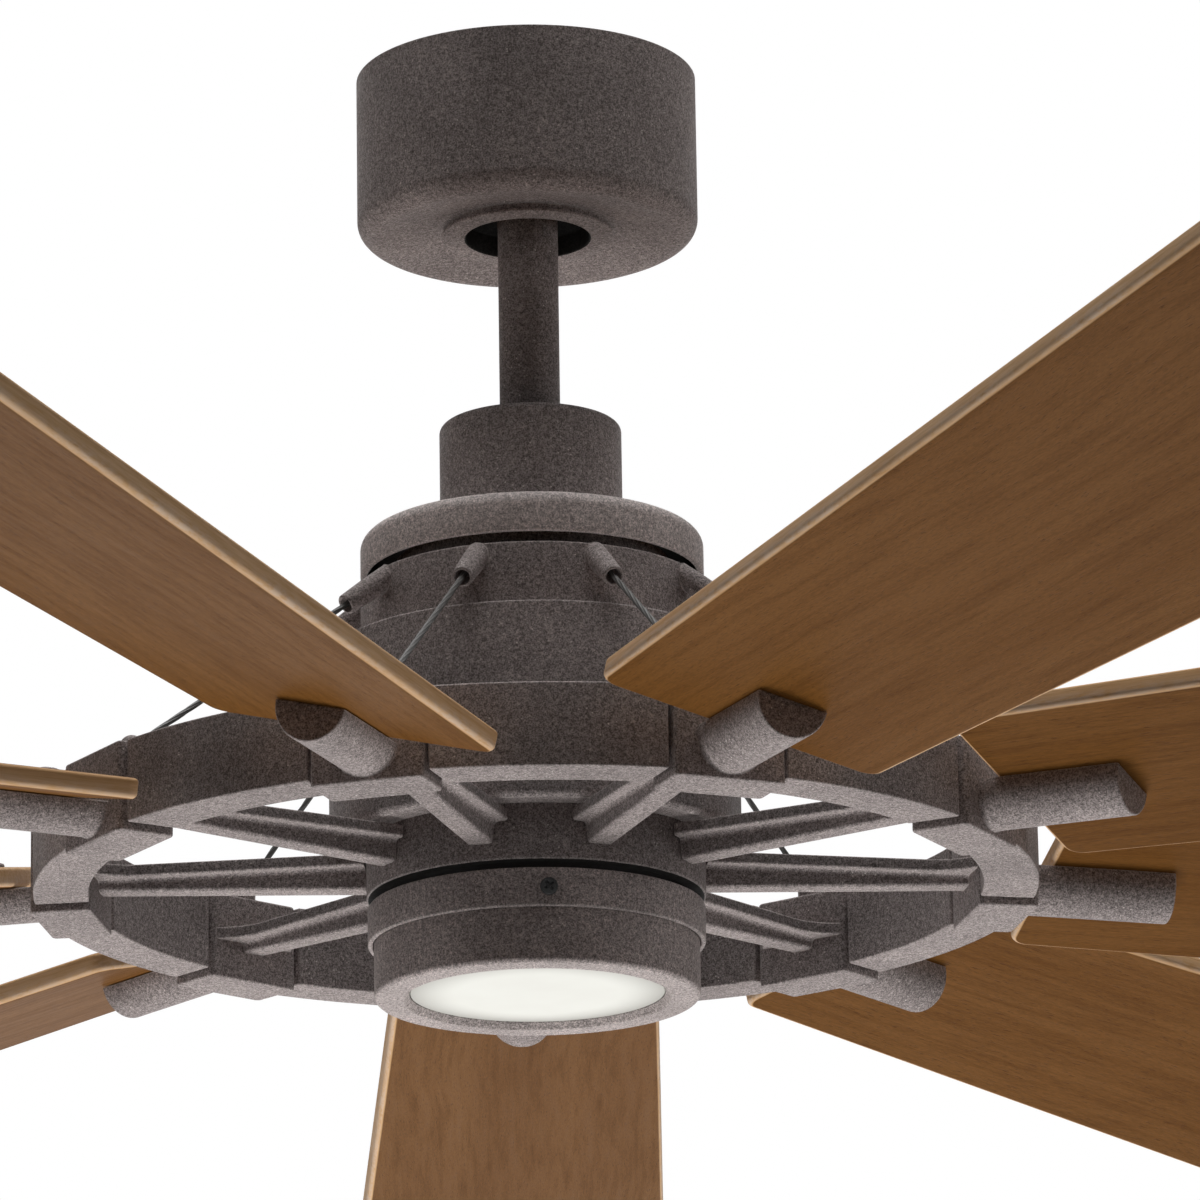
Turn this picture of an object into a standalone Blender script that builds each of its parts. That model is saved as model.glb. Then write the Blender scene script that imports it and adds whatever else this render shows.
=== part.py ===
"""Ceiling fan with nine blades on a spoked rim, hung from a downrod, with a round light below.

Metres, +Z up. The origin is where the fan's axis meets the ceiling, so the whole fan lies below zero.
The camera of the photograph stands on the -Y side. Each arm is drawn in its own frame, with X outwards
along the arm and Y towards the trailing edge of its blade.
"""

import math

import bmesh
import bpy
from mathutils import Matrix

MM = 0.001

# Clearances and counts
GAP = 0.3 * MM
OVERRUN = 4.0 * MM
SINK = 2.0 * MM
WELD = 0.01 * MM
BLADES = 9
STEPS = 32
FINE_STEPS = 20
SMALL_STEPS = 10
RIM_STEPS = 6 * BLADES
FIRST_ARM = math.radians(-108.25)

# Hanger, canopy and its trim ring
canopy_diameter = 144.0 * MM
canopy_height = 69.7 * MM
canopy_dish = 4.4 * MM
canopy_land_diameter = 76.0 * MM
canopy_wall = 1.5 * MM
canopy_corner = 8.0 * MM
trim_diameter = 72.8 * MM
trim_hole_diameter = 52.4 * MM
trim_drop = 4.2 * MM
trim_wall = 1.5 * MM
trim_spigot = 4.5 * MM
trim_stud_diameter = 4.0 * MM
trim_stud_spread = 63.0 * MM
bracket_length = 116.0 * MM
bracket_width = 44.0 * MM
bracket_sheet = 2.5 * MM
bracket_strap_spread = 74.5 * MM
bracket_strap_width = 36.0 * MM
bracket_seat_width = 48.0 * MM
bracket_seat_depth = 47.0 * MM
bracket_hole_diameter = 5.5 * MM
bracket_hole_spread = 90.0 * MM
bracket_wire_hole_diameter = 12.0 * MM
bracket_wire_hole_offset = 12.0 * MM
ball_diameter = 48.0 * MM
ball_drop = 32.0 * MM
pin_diameter = 6.0 * MM
ball_pin_rise = 5.0 * MM
ball_pin_length = 44.0 * MM

# Downrod and coupling
rod_diameter = 25.4 * MM
rod_wall = 1.8 * MM
rod_length = 172.0 * MM
rod_stub = 12.0 * MM
yoke_wall = 4.0 * MM
yoke_socket = 22.0 * MM
yoke_shoulder = 5.2 * MM
yoke_flange_diameter = 66.0 * MM
yoke_flange = 4.0 * MM
yoke_wire_hole_diameter = 16.0 * MM
yoke_pin_drop = 11.0 * MM
yoke_pin_length = 38.0 * MM
cover_diameter = 76.4 * MM
cover_height = 47.7 * MM
cover_wall = 1.6 * MM
cover_corner = 2.5 * MM
cover_slip = 0.5 * MM

# Motor, still parts
cap_height = 17.9 * MM
cap_wall = 3.0 * MM
cap_corner = 6.0 * MM
cap_boss_diameter = 32.0 * MM
cap_boss_length = 11.5 * MM
shaft_diameter = 20.0 * MM
shaft_wall = 3.0 * MM
shaft_tail = 2.5 * MM
stator_stack = 26.0 * MM
stator_top_gap = 9.0 * MM
stator_core_diameter = 50.0 * MM
stator_tooth_width = 7.0 * MM
stator_teeth = 12
coil_margin = 12.0 * MM
coil_inner_diameter = 54.0 * MM
coil_overhang = 5.0 * MM
air_gap = 1.0 * MM

# Motor, turning parts
running_gap = 1.5 * MM
cap_gap = 4.6 * MM
bearing_diameter = 42.0 * MM
bearing_width = 12.0 * MM
bearing_shield = 0.8 * MM
bearing_race = 2.6 * MM
bearing_seat_wall = 3.5 * MM
collar_step = 13.6 * MM
collar_height = 28.7 * MM
collar_wall = 3.0 * MM
collar_neck_step = 14.7 * MM
collar_neck_height = 11.0 * MM
collar_web = 6.0 * MM
collar_web_drop = 2.1 * MM
tube_diameter = 9.6 * MM
tube_bore = 6.4 * MM
tube_bore_depth = 12.0 * MM
tube_length = 23.0 * MM
tube_root_drop = 5.8 * MM
drum_diameter = 170.6 * MM
drum_height = 82.2 * MM
drum_top_edge = 1.0 * MM
drum_wall = 3.0 * MM
drum_corner = 3.5 * MM
drum_corner_sweep = 50
drum_hole_diameter = 60.0 * MM
magnet_height = 33.0 * MM
magnet_depth = 10.0 * MM
floor_sheet = 3.7 * MM
floor_rise = 0.6 * MM
hub_inset = 2.2 * MM
hub_diameter = 140.2 * MM
hub_height = 24.6 * MM
hub_wall = 6.0 * MM
hub_web = 6.0 * MM
hub_head = 11.0 * MM
hub_head_width = 12.6 * MM

# Rim, arms and blades
rim_diameter = 414.8 * MM
rim_width = 22.9 * MM
rim_height = 34.0 * MM
rim_rise = 2.1 * MM
rim_edge = 1.0 * MM
rim_tenon_inset = 4.0 * MM
rim_tenon_length = 1.5 * MM
block_width = 46.6 * MM
block_length = 25.5 * MM
block_proud = 1.1 * MM
block_drop = 3.0 * MM
block_edge = 2.0 * MM
boss_diameter = 10.0 * MM
boss_inset = 18.5 * MM
boss_height = 4.5 * MM
cable_diameter = 2.4 * MM
cable_seat = 2.5 * MM
spoke_width = 24.0 * MM
spoke_flange = 5.0 * MM
spoke_drop = 4.0 * MM
spoke_root_width = 42.0 * MM
spoke_root_length = 14.0 * MM
rib_width = 13.0 * MM
rib_foot_width = 10.0 * MM
rib_edge = 2.5 * MM
rib_hub_depth = 9.0 * MM
rib_rim_depth = 5.0 * MM
tongue_width = 29.0 * MM
tongue_depth = 15.0 * MM
tongue_length = 62.0 * MM
tongue_drop = 19.8 * MM
tongue_flare = 1.0 * MM
tongue_flare_length = 2.5 * MM
blade_pitch = math.radians(14.0)
blade_droop = math.radians(1.56)
blade_thickness = 8.5 * MM
blade_edge = 2.0 * MM
blade_root_gap = 7.7 * MM
sweep_diameter = 1651.0 * MM
blade_root_lead = 61.5 * MM
blade_root_trail = 59.0 * MM
blade_tip_lead = 89.5 * MM
blade_tip_trail = 77.0 * MM
blade_root_corner = 8.0 * MM
blade_tip_corner = 22.0 * MM
screw_diameter = 5.0 * MM
screw_head_diameter = 10.0 * MM
screw_head_height = 2.4 * MM
screw_first = 20.0 * MM
screw_pitch = 30.0 * MM

# Light
light_gap = 3.4 * MM
pan_height = 16.2 * MM
pan_wall = 2.0 * MM
pan_clearance = 0.5 * MM
pan_boss_diameter = 36.0 * MM
pan_boss_length = 3.0 * MM
housing_diameter = 134.4 * MM
housing_wall = 2.0 * MM
housing_overlap = 13.2 * MM
housing_drop = 22.7 * MM
housing_corner = 3.0 * MM
lip_width = 12.6 * MM
lip_height = 3.9 * MM
lens_flange = 2.0 * MM
lens_crown = 1.9 * MM
lens_step = 2.3 * MM
module_sheet = 2.5 * MM
module_skirt = 9.4 * MM
module_wall = 2.3 * MM
driver_length = 56.0 * MM
driver_width = 30.0 * MM
driver_height = 12.0 * MM
chip_diameter = 9.0 * MM
chip_height = 1.2 * MM
chip_ring_diameter = 64.0 * MM
chips = 8
light_screw_diameter = 4.0 * MM
light_screw_head_diameter = 7.2 * MM
light_screw_head_height = 1.8 * MM
light_screw_drop = 8.3 * MM
light_screw_azimuth = math.radians(4.4)
light_screw_slot = 0.9 * MM
light_screw_slot_length = 4.2 * MM
light_screw_slot_depth = 0.8 * MM

# Radii that several pieces share
rod_radius = rod_diameter / 2
shaft_radius = shaft_diameter / 2
drum_radius = drum_diameter / 2
collar_radius = drum_radius - collar_step
magnet_radius = drum_radius - drum_wall - GAP - magnet_depth
stator_radius = magnet_radius - air_gap
hub_radius = hub_diameter / 2
pan_radius = housing_diameter / 2 + pan_clearance + pan_wall
rim_radius = rim_diameter / 2
block_face = rim_radius + block_proud
block_back = block_face - block_length
boss_radius_from_axis = block_face - boss_inset
bearing_seat_radius = bearing_diameter / 2 + GAP
pin_hole_radius = pin_diameter / 2 + GAP

# Levels, from the ceiling down
canopy_land = canopy_dish - canopy_height
ball_level = -ball_drop
rod_top = ball_level + rod_stub
rod_bottom = rod_top - rod_length
yoke_top = rod_bottom + yoke_socket
yoke_bottom = rod_bottom - yoke_shoulder - yoke_flange
cap_top = yoke_bottom - GAP
cap_bottom = cap_top - cap_height
cover_top = cap_top + GAP + cover_height
collar_top = cap_bottom - cap_gap
collar_bottom = collar_top - collar_height
drum_top = collar_bottom - GAP
drum_bottom = drum_top - drum_height
floor_bottom = drum_bottom + floor_rise
hub_top = drum_bottom + hub_inset
floor_top = hub_top + GAP + floor_sheet
hub_bottom = hub_top - hub_height
rim_bottom = hub_bottom + rim_rise
rim_top = rim_bottom + rim_height
block_bottom = rim_bottom - block_drop
boss_level = rim_top + boss_height
spoke_top = hub_top - spoke_drop
tongue_level = rim_top - tongue_drop
pan_top = hub_bottom - light_gap
pan_bottom = pan_top - pan_height
housing_top = pan_bottom + housing_overlap
housing_bottom = pan_bottom - housing_drop
lens_level = housing_bottom + lip_height + GAP
light_screw_level = pan_top - light_screw_drop
shaft_bottom = pan_top - pan_wall - pan_boss_length - shaft_tail
upper_bearing_top = collar_top - collar_web_drop - running_gap
hub_web_top = hub_top - hub_head
lower_bearing_top = hub_web_top + bearing_width / 4


def clear_scene():
    """Removes everything that the file started with."""
    for obj in list(bpy.data.objects):
        bpy.data.objects.remove(obj)


def new_collection(name):
    made = bpy.data.collections.new(name)
    bpy.context.scene.collection.children.link(made)
    return made


clear_scene()
parts = new_collection("ceiling_fan")


def material(name, colour, roughness, metallic):
    made = bpy.data.materials.new(name)
    made.use_nodes = True
    shader = made.node_tree.nodes["Principled BSDF"]
    shader.inputs["Base Color"].default_value = (*colour, 1)
    shader.inputs["Roughness"].default_value = roughness
    shader.inputs["Metallic"].default_value = metallic
    made.diffuse_color = (*colour, 1)
    return made


weathered_zinc = material("weathered_zinc", (0.16, 0.15, 0.145), 0.6, 0.6)
walnut = material("walnut", (0.19, 0.10, 0.05), 0.45, 0.0)
bright_steel = material("bright_steel", (0.55, 0.55, 0.56), 0.3, 1.0)
black_steel = material("black_steel", (0.02, 0.02, 0.02), 0.4, 0.8)
copper = material("copper", (0.72, 0.33, 0.16), 0.35, 1.0)
opal = material("opal", (0.95, 0.94, 0.9), 0.35, 0.0)


def empty(name, level=0, turn=0, parent=None):
    """An axis or a station that pieces hang from."""
    made = bpy.data.objects.new(name, None)
    parts.objects.link(made)
    made.location.z = level
    made.rotation_euler.z = turn
    made.parent = parent
    return made


def new_object(name, mesh, finish, parent=None):
    made = bpy.data.objects.new(name, mesh)
    mesh.materials.clear()
    mesh.materials.append(finish)
    mesh.shade_smooth()
    mesh.set_sharp_from_angle(angle=math.radians(35))
    parts.objects.link(made)
    made.parent = parent
    return made


def evaluated_mesh(obj):
    """The object's mesh with its modifiers applied. The object is removed."""
    bpy.context.view_layer.update()
    graph = bpy.context.evaluated_depsgraph_get()
    mesh = bpy.data.meshes.new_from_object(obj.evaluated_get(graph))
    bpy.data.objects.remove(obj)
    return mesh


def scratch_object(mesh):
    made = bpy.data.objects.new("scratch", mesh)
    parts.objects.link(made)
    return made


def placed(mesh, matrix):
    """The mesh moved by a matrix."""
    mesh.transform(matrix)
    return mesh


def combined(base, operation, others, solver):
    """One mesh from a Boolean of the base with each of the others in turn."""
    body = scratch_object(base)
    helpers = [scratch_object(other) for other in others]
    for helper in helpers:
        modifier = body.modifiers.new("join", "BOOLEAN")
        modifier.operation = operation
        modifier.solver = solver
        modifier.object = helper
    mesh = evaluated_mesh(body)
    for helper in helpers:
        bpy.data.objects.remove(helper)
    return mesh


def joined(base, *others, solver="EXACT"):
    return combined(base, "UNION", others, solver)


def cut(base, *cutters, solver="EXACT"):
    return combined(base, "DIFFERENCE", cutters, solver)


def arc(radius_from_axis, level, radius, start, end, steps):
    """Points on an arc of a profile, with angles in degrees from outwards, upwards positive."""
    points = []
    for step in range(steps + 1):
        angle = math.radians(start + (end - start) * step / steps)
        points.append((radius_from_axis + radius * math.cos(angle), level + radius * math.sin(angle)))
    return points


def turned(profile, steps=STEPS):
    """A solid of revolution round Z. The profile runs down its outer side, then back up inside."""
    on_axis = profile[0][0] == 0 and profile[-1][0] == 0
    count = len(profile)
    edges = [(i, (i + 1) % count) for i in range(count - 1 if on_axis else count)]
    mesh = bpy.data.meshes.new("turned")
    mesh.from_pydata([(radius, 0, level) for radius, level in profile], edges, [])
    obj = scratch_object(mesh)
    screw = obj.modifiers.new("turn", "SCREW")
    screw.axis = "Z"
    screw.steps = steps
    screw.render_steps = steps
    screw.use_merge_vertices = True
    screw.merge_threshold = WELD
    return evaluated_mesh(obj)


def ring(outer, inner, top, bottom, steps=STEPS):
    """A plain ring between two radii and two levels."""
    return turned([(outer, top), (outer, bottom), (inner, bottom), (inner, top)], steps)


def rod(radius, top, bottom, steps=SMALL_STEPS):
    """A plain round bar on the Z axis."""
    return turned([(0, top), (radius, top), (radius, bottom), (0, bottom)], steps)


def cross_bar(radius, length, level, steps=SMALL_STEPS):
    """A round bar along X, centred on the axis at a level."""
    turn = Matrix.Translation((0, 0, level)) @ Matrix.Rotation(math.pi / 2, 4, "Y")
    return placed(rod(radius, length / 2, -length / 2, steps), turn)


def box(size, centre):
    """A box of a size about a centre."""
    made = bmesh.new()
    bmesh.ops.create_cube(made, size=1)
    mesh = bpy.data.meshes.new("box")
    made.to_mesh(mesh)
    made.free()
    return placed(mesh, Matrix.Translation(centre) @ Matrix.Diagonal((*size, 1)))


def bevelled(mesh, width, segments=1, limit=30):
    """The mesh with its sharp edges taken off."""
    obj = scratch_object(mesh)
    bevel = obj.modifiers.new("edges", "BEVEL")
    bevel.width = width
    bevel.segments = segments
    bevel.limit_method = "ANGLE"
    bevel.angle_limit = math.radians(limit)
    return evaluated_mesh(obj)


def slab(outline, thickness):
    """A flat outline in XY made solid, from level zero up."""
    curve = bpy.data.curves.new("outline", "CURVE")
    curve.dimensions = "2D"
    curve.fill_mode = "BOTH"
    curve.extrude = thickness / 2
    spline = curve.splines.new("POLY")
    spline.points.add(len(outline) - 1)
    for point, (x, y) in zip(spline.points, outline):
        point.co = (x, y, 0, 1)
    spline.use_cyclic_u = True
    mesh = evaluated_mesh(scratch_object(curve))
    bpy.data.curves.remove(curve)
    made = bmesh.new()
    made.from_mesh(mesh)
    bmesh.ops.remove_doubles(made, verts=made.verts, dist=WELD)
    bmesh.ops.recalc_face_normals(made, faces=made.faces)
    made.to_mesh(mesh)
    made.free()
    return placed(mesh, Matrix.Translation((0, 0, thickness / 2)))


def filleted(corners, steps=4):
    """An outline with its corners rounded. Each corner is (x, y, radius), counter-clockwise."""
    points = []
    count = len(corners)
    for index, (x, y, radius) in enumerate(corners):
        if not radius:
            points.append((x, y))
            continue
        ends = []
        for other in (corners[index - 1], corners[(index + 1) % count]):
            length = math.hypot(other[0] - x, other[1] - y)
            ends.append(((other[0] - x) / length, (other[1] - y) / length))
        (ax, ay), (bx, by) = ends
        half = math.acos(ax * bx + ay * by) / 2
        reach = radius / math.tan(half)
        middle = radius / math.sin(half) / math.hypot(ax + bx, ay + by)
        centre_x = x + (ax + bx) * middle
        centre_y = y + (ay + by) * middle
        start = math.atan2(y + ay * reach - centre_y, x + ax * reach - centre_x)
        sweep = math.pi - 2 * half
        for step in range(steps + 1):
            angle = start + sweep * step / steps
            points.append((centre_x + radius * math.cos(angle), centre_y + radius * math.sin(angle)))
    return points


# Hanger, canopy and trim ring


def hanger_bracket():
    """The bent steel bracket: a ceiling plate, two straps and a keyhole seat for the ball."""
    plate = box(
        (bracket_length, bracket_width, bracket_sheet), (0, 0, -bracket_sheet / 2)
    )
    strap_height = bracket_seat_depth - bracket_sheet / 2
    straps = [
        box(
            (bracket_sheet, bracket_strap_width, strap_height),
            (side * bracket_strap_spread / 2, 0, -bracket_sheet / 2 - strap_height / 2),
        )
        for side in (-1, 1)
    ]
    seat = box(
        (bracket_strap_spread + bracket_sheet, bracket_seat_width, bracket_sheet),
        (0, 0, -bracket_seat_depth + bracket_sheet / 2),
    )
    body = joined(plate, *straps, seat)
    socket_radius = ball_diameter / 2 + GAP
    socket_reach = bracket_seat_depth - ball_drop + OVERRUN
    low_angle = math.degrees(math.asin(socket_reach / socket_radius))
    low_point = arc(0, ball_level, socket_radius, 0, -low_angle, 6)
    socket = turned([(0, ball_level), *low_point, (0, low_point[-1][1])], FINE_STEPS)
    mouth = box(
        (rod_diameter + 4 * GAP, bracket_seat_width, bracket_sheet + 2 * OVERRUN),
        (0, bracket_seat_width / 2, -bracket_seat_depth + bracket_sheet / 2),
    )
    hole_radius = bracket_hole_diameter / 2
    holes = [
        placed(
            rod(hole_radius, OVERRUN, -bracket_sheet - OVERRUN),
            Matrix.Translation((side * bracket_hole_spread / 2, 0, 0)),
        )
        for side in (-1, 1)
    ]
    wire_hole = placed(
        rod(bracket_wire_hole_diameter / 2, OVERRUN, -bracket_sheet - OVERRUN),
        Matrix.Translation((0, bracket_wire_hole_offset, 0)),
    )
    stud_holes = trim_stud_bars(
        trim_stud_diameter / 2 + GAP,
        -bracket_seat_depth + bracket_sheet + OVERRUN,
        -bracket_seat_depth - OVERRUN,
    )
    return cut(body, socket, mouth, *holes, wire_hole, *stud_holes)


def trim_stud_bars(radius, top, bottom):
    """Two upright bars where the trim ring's studs stand."""
    return [
        placed(rod(radius, top, bottom), Matrix.Translation((side * trim_stud_spread / 2, 0, 0)))
        for side in (-1, 1)
    ]


def canopy():
    """The pressed cup against the ceiling, dished below, with holes for the rod and two studs."""
    outer = canopy_diameter / 2
    hole = trim_hole_diameter / 2 + trim_wall + GAP
    corner = arc(outer - canopy_corner, canopy_corner - canopy_height, canopy_corner, 0, -90, 3)
    inner_corner = arc(
        outer - canopy_corner,
        canopy_corner - canopy_height,
        canopy_corner - canopy_wall,
        -90,
        0,
        1,
    )
    land = canopy_land_diameter / 2
    floor = canopy_land + canopy_wall
    profile = [
        (outer, 0),
        *corner,
        (land, canopy_land),
        (hole, canopy_land),
        (hole, floor),
        (land, floor),
        *inner_corner,
        (outer - canopy_wall, 0),
    ]
    stud_holes = trim_stud_bars(
        trim_stud_diameter / 2 + GAP, floor + OVERRUN, canopy_land - OVERRUN
    )
    return cut(turned(profile), *stud_holes)


def canopy_trim_ring():
    """A channel-shaped ring under the canopy, with the two fixing studs that it hides."""
    outer = trim_diameter / 2
    inner = trim_hole_diameter / 2
    top = canopy_land - GAP
    bottom = top - trim_drop
    channel = bottom + trim_wall
    spigot_top = top + trim_spigot
    body = turned(
        [
            (outer, top),
            (outer, bottom),
            (inner, bottom),
            (inner, spigot_top),
            (inner + trim_wall, spigot_top),
            (inner + trim_wall, channel),
            (outer - trim_wall, channel),
            (outer - trim_wall, top),
        ]
    )
    studs = trim_stud_bars(
        trim_stud_diameter / 2, -bracket_seat_depth + bracket_sheet + GAP, channel - trim_wall / 2
    )
    return joined(body, *studs)


def hanger_ball():
    """The ball on the rod's upper end, cut flat on top, bored for the rod and its pin."""
    radius = ball_diameter / 2
    bore = rod_radius + GAP
    top_angle = math.degrees(math.asin(rod_stub / radius))
    low_angle = math.degrees(math.acos(bore / radius))
    profile = [*arc(0, 0, radius, top_angle, -low_angle, 8), (bore, rod_stub)]
    pin_hole = cross_bar(pin_hole_radius, ball_diameter + OVERRUN, ball_pin_rise)
    return cut(turned(profile, FINE_STEPS), pin_hole)


def downrod():
    """The tube, with cross holes for the ball's pin and the yoke's pin."""
    level = rod_bottom - ball_level
    body = ring(rod_radius, rod_radius - rod_wall, rod_stub, level, FINE_STEPS)
    reach = rod_diameter + OVERRUN
    upper = cross_bar(pin_hole_radius, reach, ball_pin_rise)
    lower = cross_bar(pin_hole_radius, reach, yoke_top - yoke_pin_drop - ball_level)
    return cut(body, upper, lower)


def coupling_yoke():
    """The flanged socket that the rod's lower end sits in."""
    bore = rod_radius + GAP
    wall = bore + yoke_wall
    shoulder = rod_bottom - GAP
    body = turned(
        [
            (wall, yoke_top),
            (wall, yoke_bottom + yoke_flange),
            (yoke_flange_diameter / 2, yoke_bottom + yoke_flange),
            (yoke_flange_diameter / 2, yoke_bottom),
            (yoke_wire_hole_diameter / 2, yoke_bottom),
            (yoke_wire_hole_diameter / 2, shoulder),
            (bore, shoulder),
            (bore, yoke_top),
        ],
        FINE_STEPS,
    )
    hole = cross_bar(pin_hole_radius, 2 * wall + OVERRUN, yoke_top - yoke_pin_drop)
    return cut(body, hole)


def coupling_cover():
    """The cup over the yoke, drawn from its own top down, so that it slides up the rod."""
    outer = cover_diameter / 2
    hole = rod_radius + cover_slip
    corner = arc(outer - cover_corner, -cover_corner, cover_corner, 90, 0, 3)
    inner = outer - cover_wall
    return turned(
        [
            (hole, 0),
            *corner,
            (outer, -cover_height),
            (inner, -cover_height),
            (inner, -cover_wall),
            (hole, -cover_wall),
        ]
    )


# Motor, still parts


def motor_cap():
    """The wide still disc over the rotor: a shallow cup with a boss that grips the shaft."""
    outer = collar_radius
    bore = shaft_radius + GAP
    corner = arc(outer - cap_corner, cap_top - cap_corner, cap_corner, 90, 0, 4)
    inner = outer - cap_wall
    ceiling = cap_top - cap_wall
    inner_corner = cap_corner - cap_wall
    return turned(
        [
            (bore, cap_top),
            *corner,
            (outer, cap_bottom),
            (inner, cap_bottom),
            (inner, ceiling - inner_corner),
            (inner - inner_corner, ceiling),
            (cap_boss_diameter / 2, ceiling),
            (cap_boss_diameter / 2, ceiling - cap_boss_length),
            (bore, ceiling - cap_boss_length),
        ]
    )


def motor_shaft():
    """The fixed hollow shaft, from the cap to the light."""
    return ring(shaft_radius, shaft_radius - shaft_wall, cap_top, shaft_bottom, FINE_STEPS)


def stator():
    """A toothed core on the shaft with its ring of windings."""
    top = drum_top - drum_wall - stator_top_gap
    half_tooth = stator_tooth_width / 2
    core = stator_core_diameter / 2
    tip = stator_radius
    reach = math.sqrt(tip**2 - half_tooth**2)
    neck = math.sqrt(core**2 - half_tooth**2)
    outline = []
    for tooth in range(stator_teeth):
        turn = 2 * math.pi * tooth / stator_teeth
        tooth_corners = (
            (neck, -half_tooth),
            (reach, -half_tooth),
            (reach, half_tooth),
            (neck, half_tooth),
        )
        for x, y in tooth_corners:
            across = x * math.cos(turn) - y * math.sin(turn)
            along = x * math.sin(turn) + y * math.cos(turn)
            outline.append((across, along))
    star = placed(slab(outline, stator_stack), Matrix.Translation((0, 0, top - stator_stack)))
    coil = ring(
        stator_radius - coil_margin,
        coil_inner_diameter / 2,
        top + coil_overhang,
        top - stator_stack - coil_overhang,
    )
    bore = rod(shaft_radius + GAP, top + OVERRUN, top - stator_stack - OVERRUN, FINE_STEPS)
    return cut(joined(star, coil, solver="MANIFOLD"), bore, solver="MANIFOLD")


# Motor, turning parts


def bearing():
    """A shielded ball bearing, drawn from its own top down, with shields set in from both faces."""
    outer = bearing_diameter / 2
    inner = shaft_radius + GAP
    width = -bearing_width
    return turned(
        [
            (outer, 0),
            (outer, width),
            (outer - bearing_race, width),
            (outer - bearing_race, width + bearing_shield),
            (inner + bearing_race, width + bearing_shield),
            (inner + bearing_race, width),
            (inner, width),
            (inner, 0),
            (inner + bearing_race, 0),
            (inner + bearing_race, -bearing_shield),
            (outer - bearing_race, -bearing_shield),
            (outer - bearing_race, 0),
        ],
        FINE_STEPS,
    )


def stay_line():
    """The run and the fall of a stay, from the collar's side to the boss on the block."""
    run = boss_radius_from_axis - collar_radius
    fall = collar_top - tube_root_drop - boss_level
    return run, fall


def stay_direction():
    """The slope of a stay cable: outwards and down."""
    run, fall = stay_line()
    length = math.hypot(run, fall)
    return run / length, -fall / length


def along_stay(distance):
    """Turns a solid on the Z axis so that it lies along the cable, that far out from the collar's side."""
    outwards, up = stay_direction()
    place = Matrix.Translation(
        (
            collar_radius + distance * outwards,
            0,
            collar_top - tube_root_drop + distance * up,
        )
    )
    return place @ Matrix.Rotation(math.atan2(outwards, up), 4, "Y")


def arm_turn(index):
    """The turn that brings X to the arm's direction."""
    return FIRST_ARM + 2 * math.pi * index / BLADES


def stay_collar():
    """The band under the cap, with the upper bearing's seat and nine tubes for the cables."""
    outer = collar_radius
    neck = outer - collar_neck_step
    inner = outer - collar_wall
    neck_top = collar_top + collar_neck_height
    web_top = collar_top - collar_web_drop
    web_bottom = web_top - collar_web
    seat_bottom = upper_bearing_top - bearing_width - running_gap
    seat_outer = bearing_seat_radius + bearing_seat_wall
    body = turned(
        [
            (neck, neck_top),
            (neck, collar_top),
            (outer, collar_top),
            (outer, collar_bottom),
            (inner, collar_bottom),
            (inner, web_bottom),
            (seat_outer, web_bottom),
            (seat_outer, seat_bottom),
            (bearing_seat_radius, seat_bottom),
            (bearing_seat_radius, web_top),
            (neck - collar_wall, web_top),
            (neck - collar_wall, neck_top),
        ]
    )
    outwards, up = stay_direction()
    root = GAP - tube_diameter / 2 * up / outwards
    tubes = []
    bores = []
    for index in range(BLADES):
        turn = Matrix.Rotation(arm_turn(index), 4, "Z") @ along_stay(tube_length)
        tubes.append(placed(rod(tube_diameter / 2, 0, -tube_length - root), turn))
        bores.append(placed(rod(tube_bore / 2, OVERRUN, -tube_bore_depth, 8), turn))
    return cut(joined(body, *tubes, solver="MANIFOLD"), *bores, solver="MANIFOLD")


def motor_drum():
    """The rotor's shell: a drum with a round lower corner, open below."""
    outer = drum_radius
    ceiling = drum_top - drum_wall
    low_corner = arc(outer - drum_corner, drum_bottom + drum_corner, drum_corner, 0, -drum_corner_sweep, 2)
    return turned(
        [
            (drum_hole_diameter / 2, drum_top),
            (outer - drum_top_edge, drum_top),
            (outer, drum_top - drum_top_edge),
            *low_corner,
            (outer - drum_wall, drum_bottom),
            (outer - drum_wall, ceiling),
            (drum_hole_diameter / 2, ceiling),
        ]
    )


def magnet_ring():
    """The ring of magnets on the inside of the drum, round the stator."""
    top = drum_top - drum_wall - GAP
    return ring(magnet_radius + magnet_depth, magnet_radius, top, top - magnet_height)


def rotor_floor():
    """The ring that closes the drum below, let down round the hub's top and resting on it."""
    outer = drum_radius - drum_wall - GAP
    recess = hub_radius + GAP
    inner = hub_radius - hub_head_width
    return turned(
        [
            (outer, floor_top),
            (outer, floor_bottom),
            (recess, floor_bottom),
            (recess, hub_top + GAP),
            (inner, hub_top + GAP),
            (inner, floor_top),
        ]
    )


def spoke_hub():
    """The hub that the spokes butt on, with the lower bearing's seat."""
    seat_outer = bearing_seat_radius + bearing_seat_wall
    web_bottom = hub_web_top - hub_web
    seat_bottom = lower_bearing_top - bearing_width - running_gap
    head_inner = hub_radius - hub_head_width
    return turned(
        [
            (hub_radius, hub_top),
            (hub_radius, hub_bottom),
            (hub_radius - hub_wall, hub_bottom),
            (hub_radius - hub_wall, web_bottom),
            (seat_outer, web_bottom),
            (seat_outer, seat_bottom),
            (bearing_seat_radius, seat_bottom),
            (bearing_seat_radius, lower_bearing_top),
            (seat_outer, lower_bearing_top),
            (seat_outer, hub_web_top),
            (head_inner, hub_web_top),
            (head_inner, hub_top),
        ]
    )


# Rim, arms and blades


def blade_frame():
    """The frame of a blade's seat: at the block's face, drooped outwards and pitched."""
    return (
        Matrix.Translation((block_face, 0, tongue_level))
        @ Matrix.Rotation(blade_droop, 4, "Y")
        @ Matrix.Rotation(-blade_pitch, 4, "X")
    )


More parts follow.
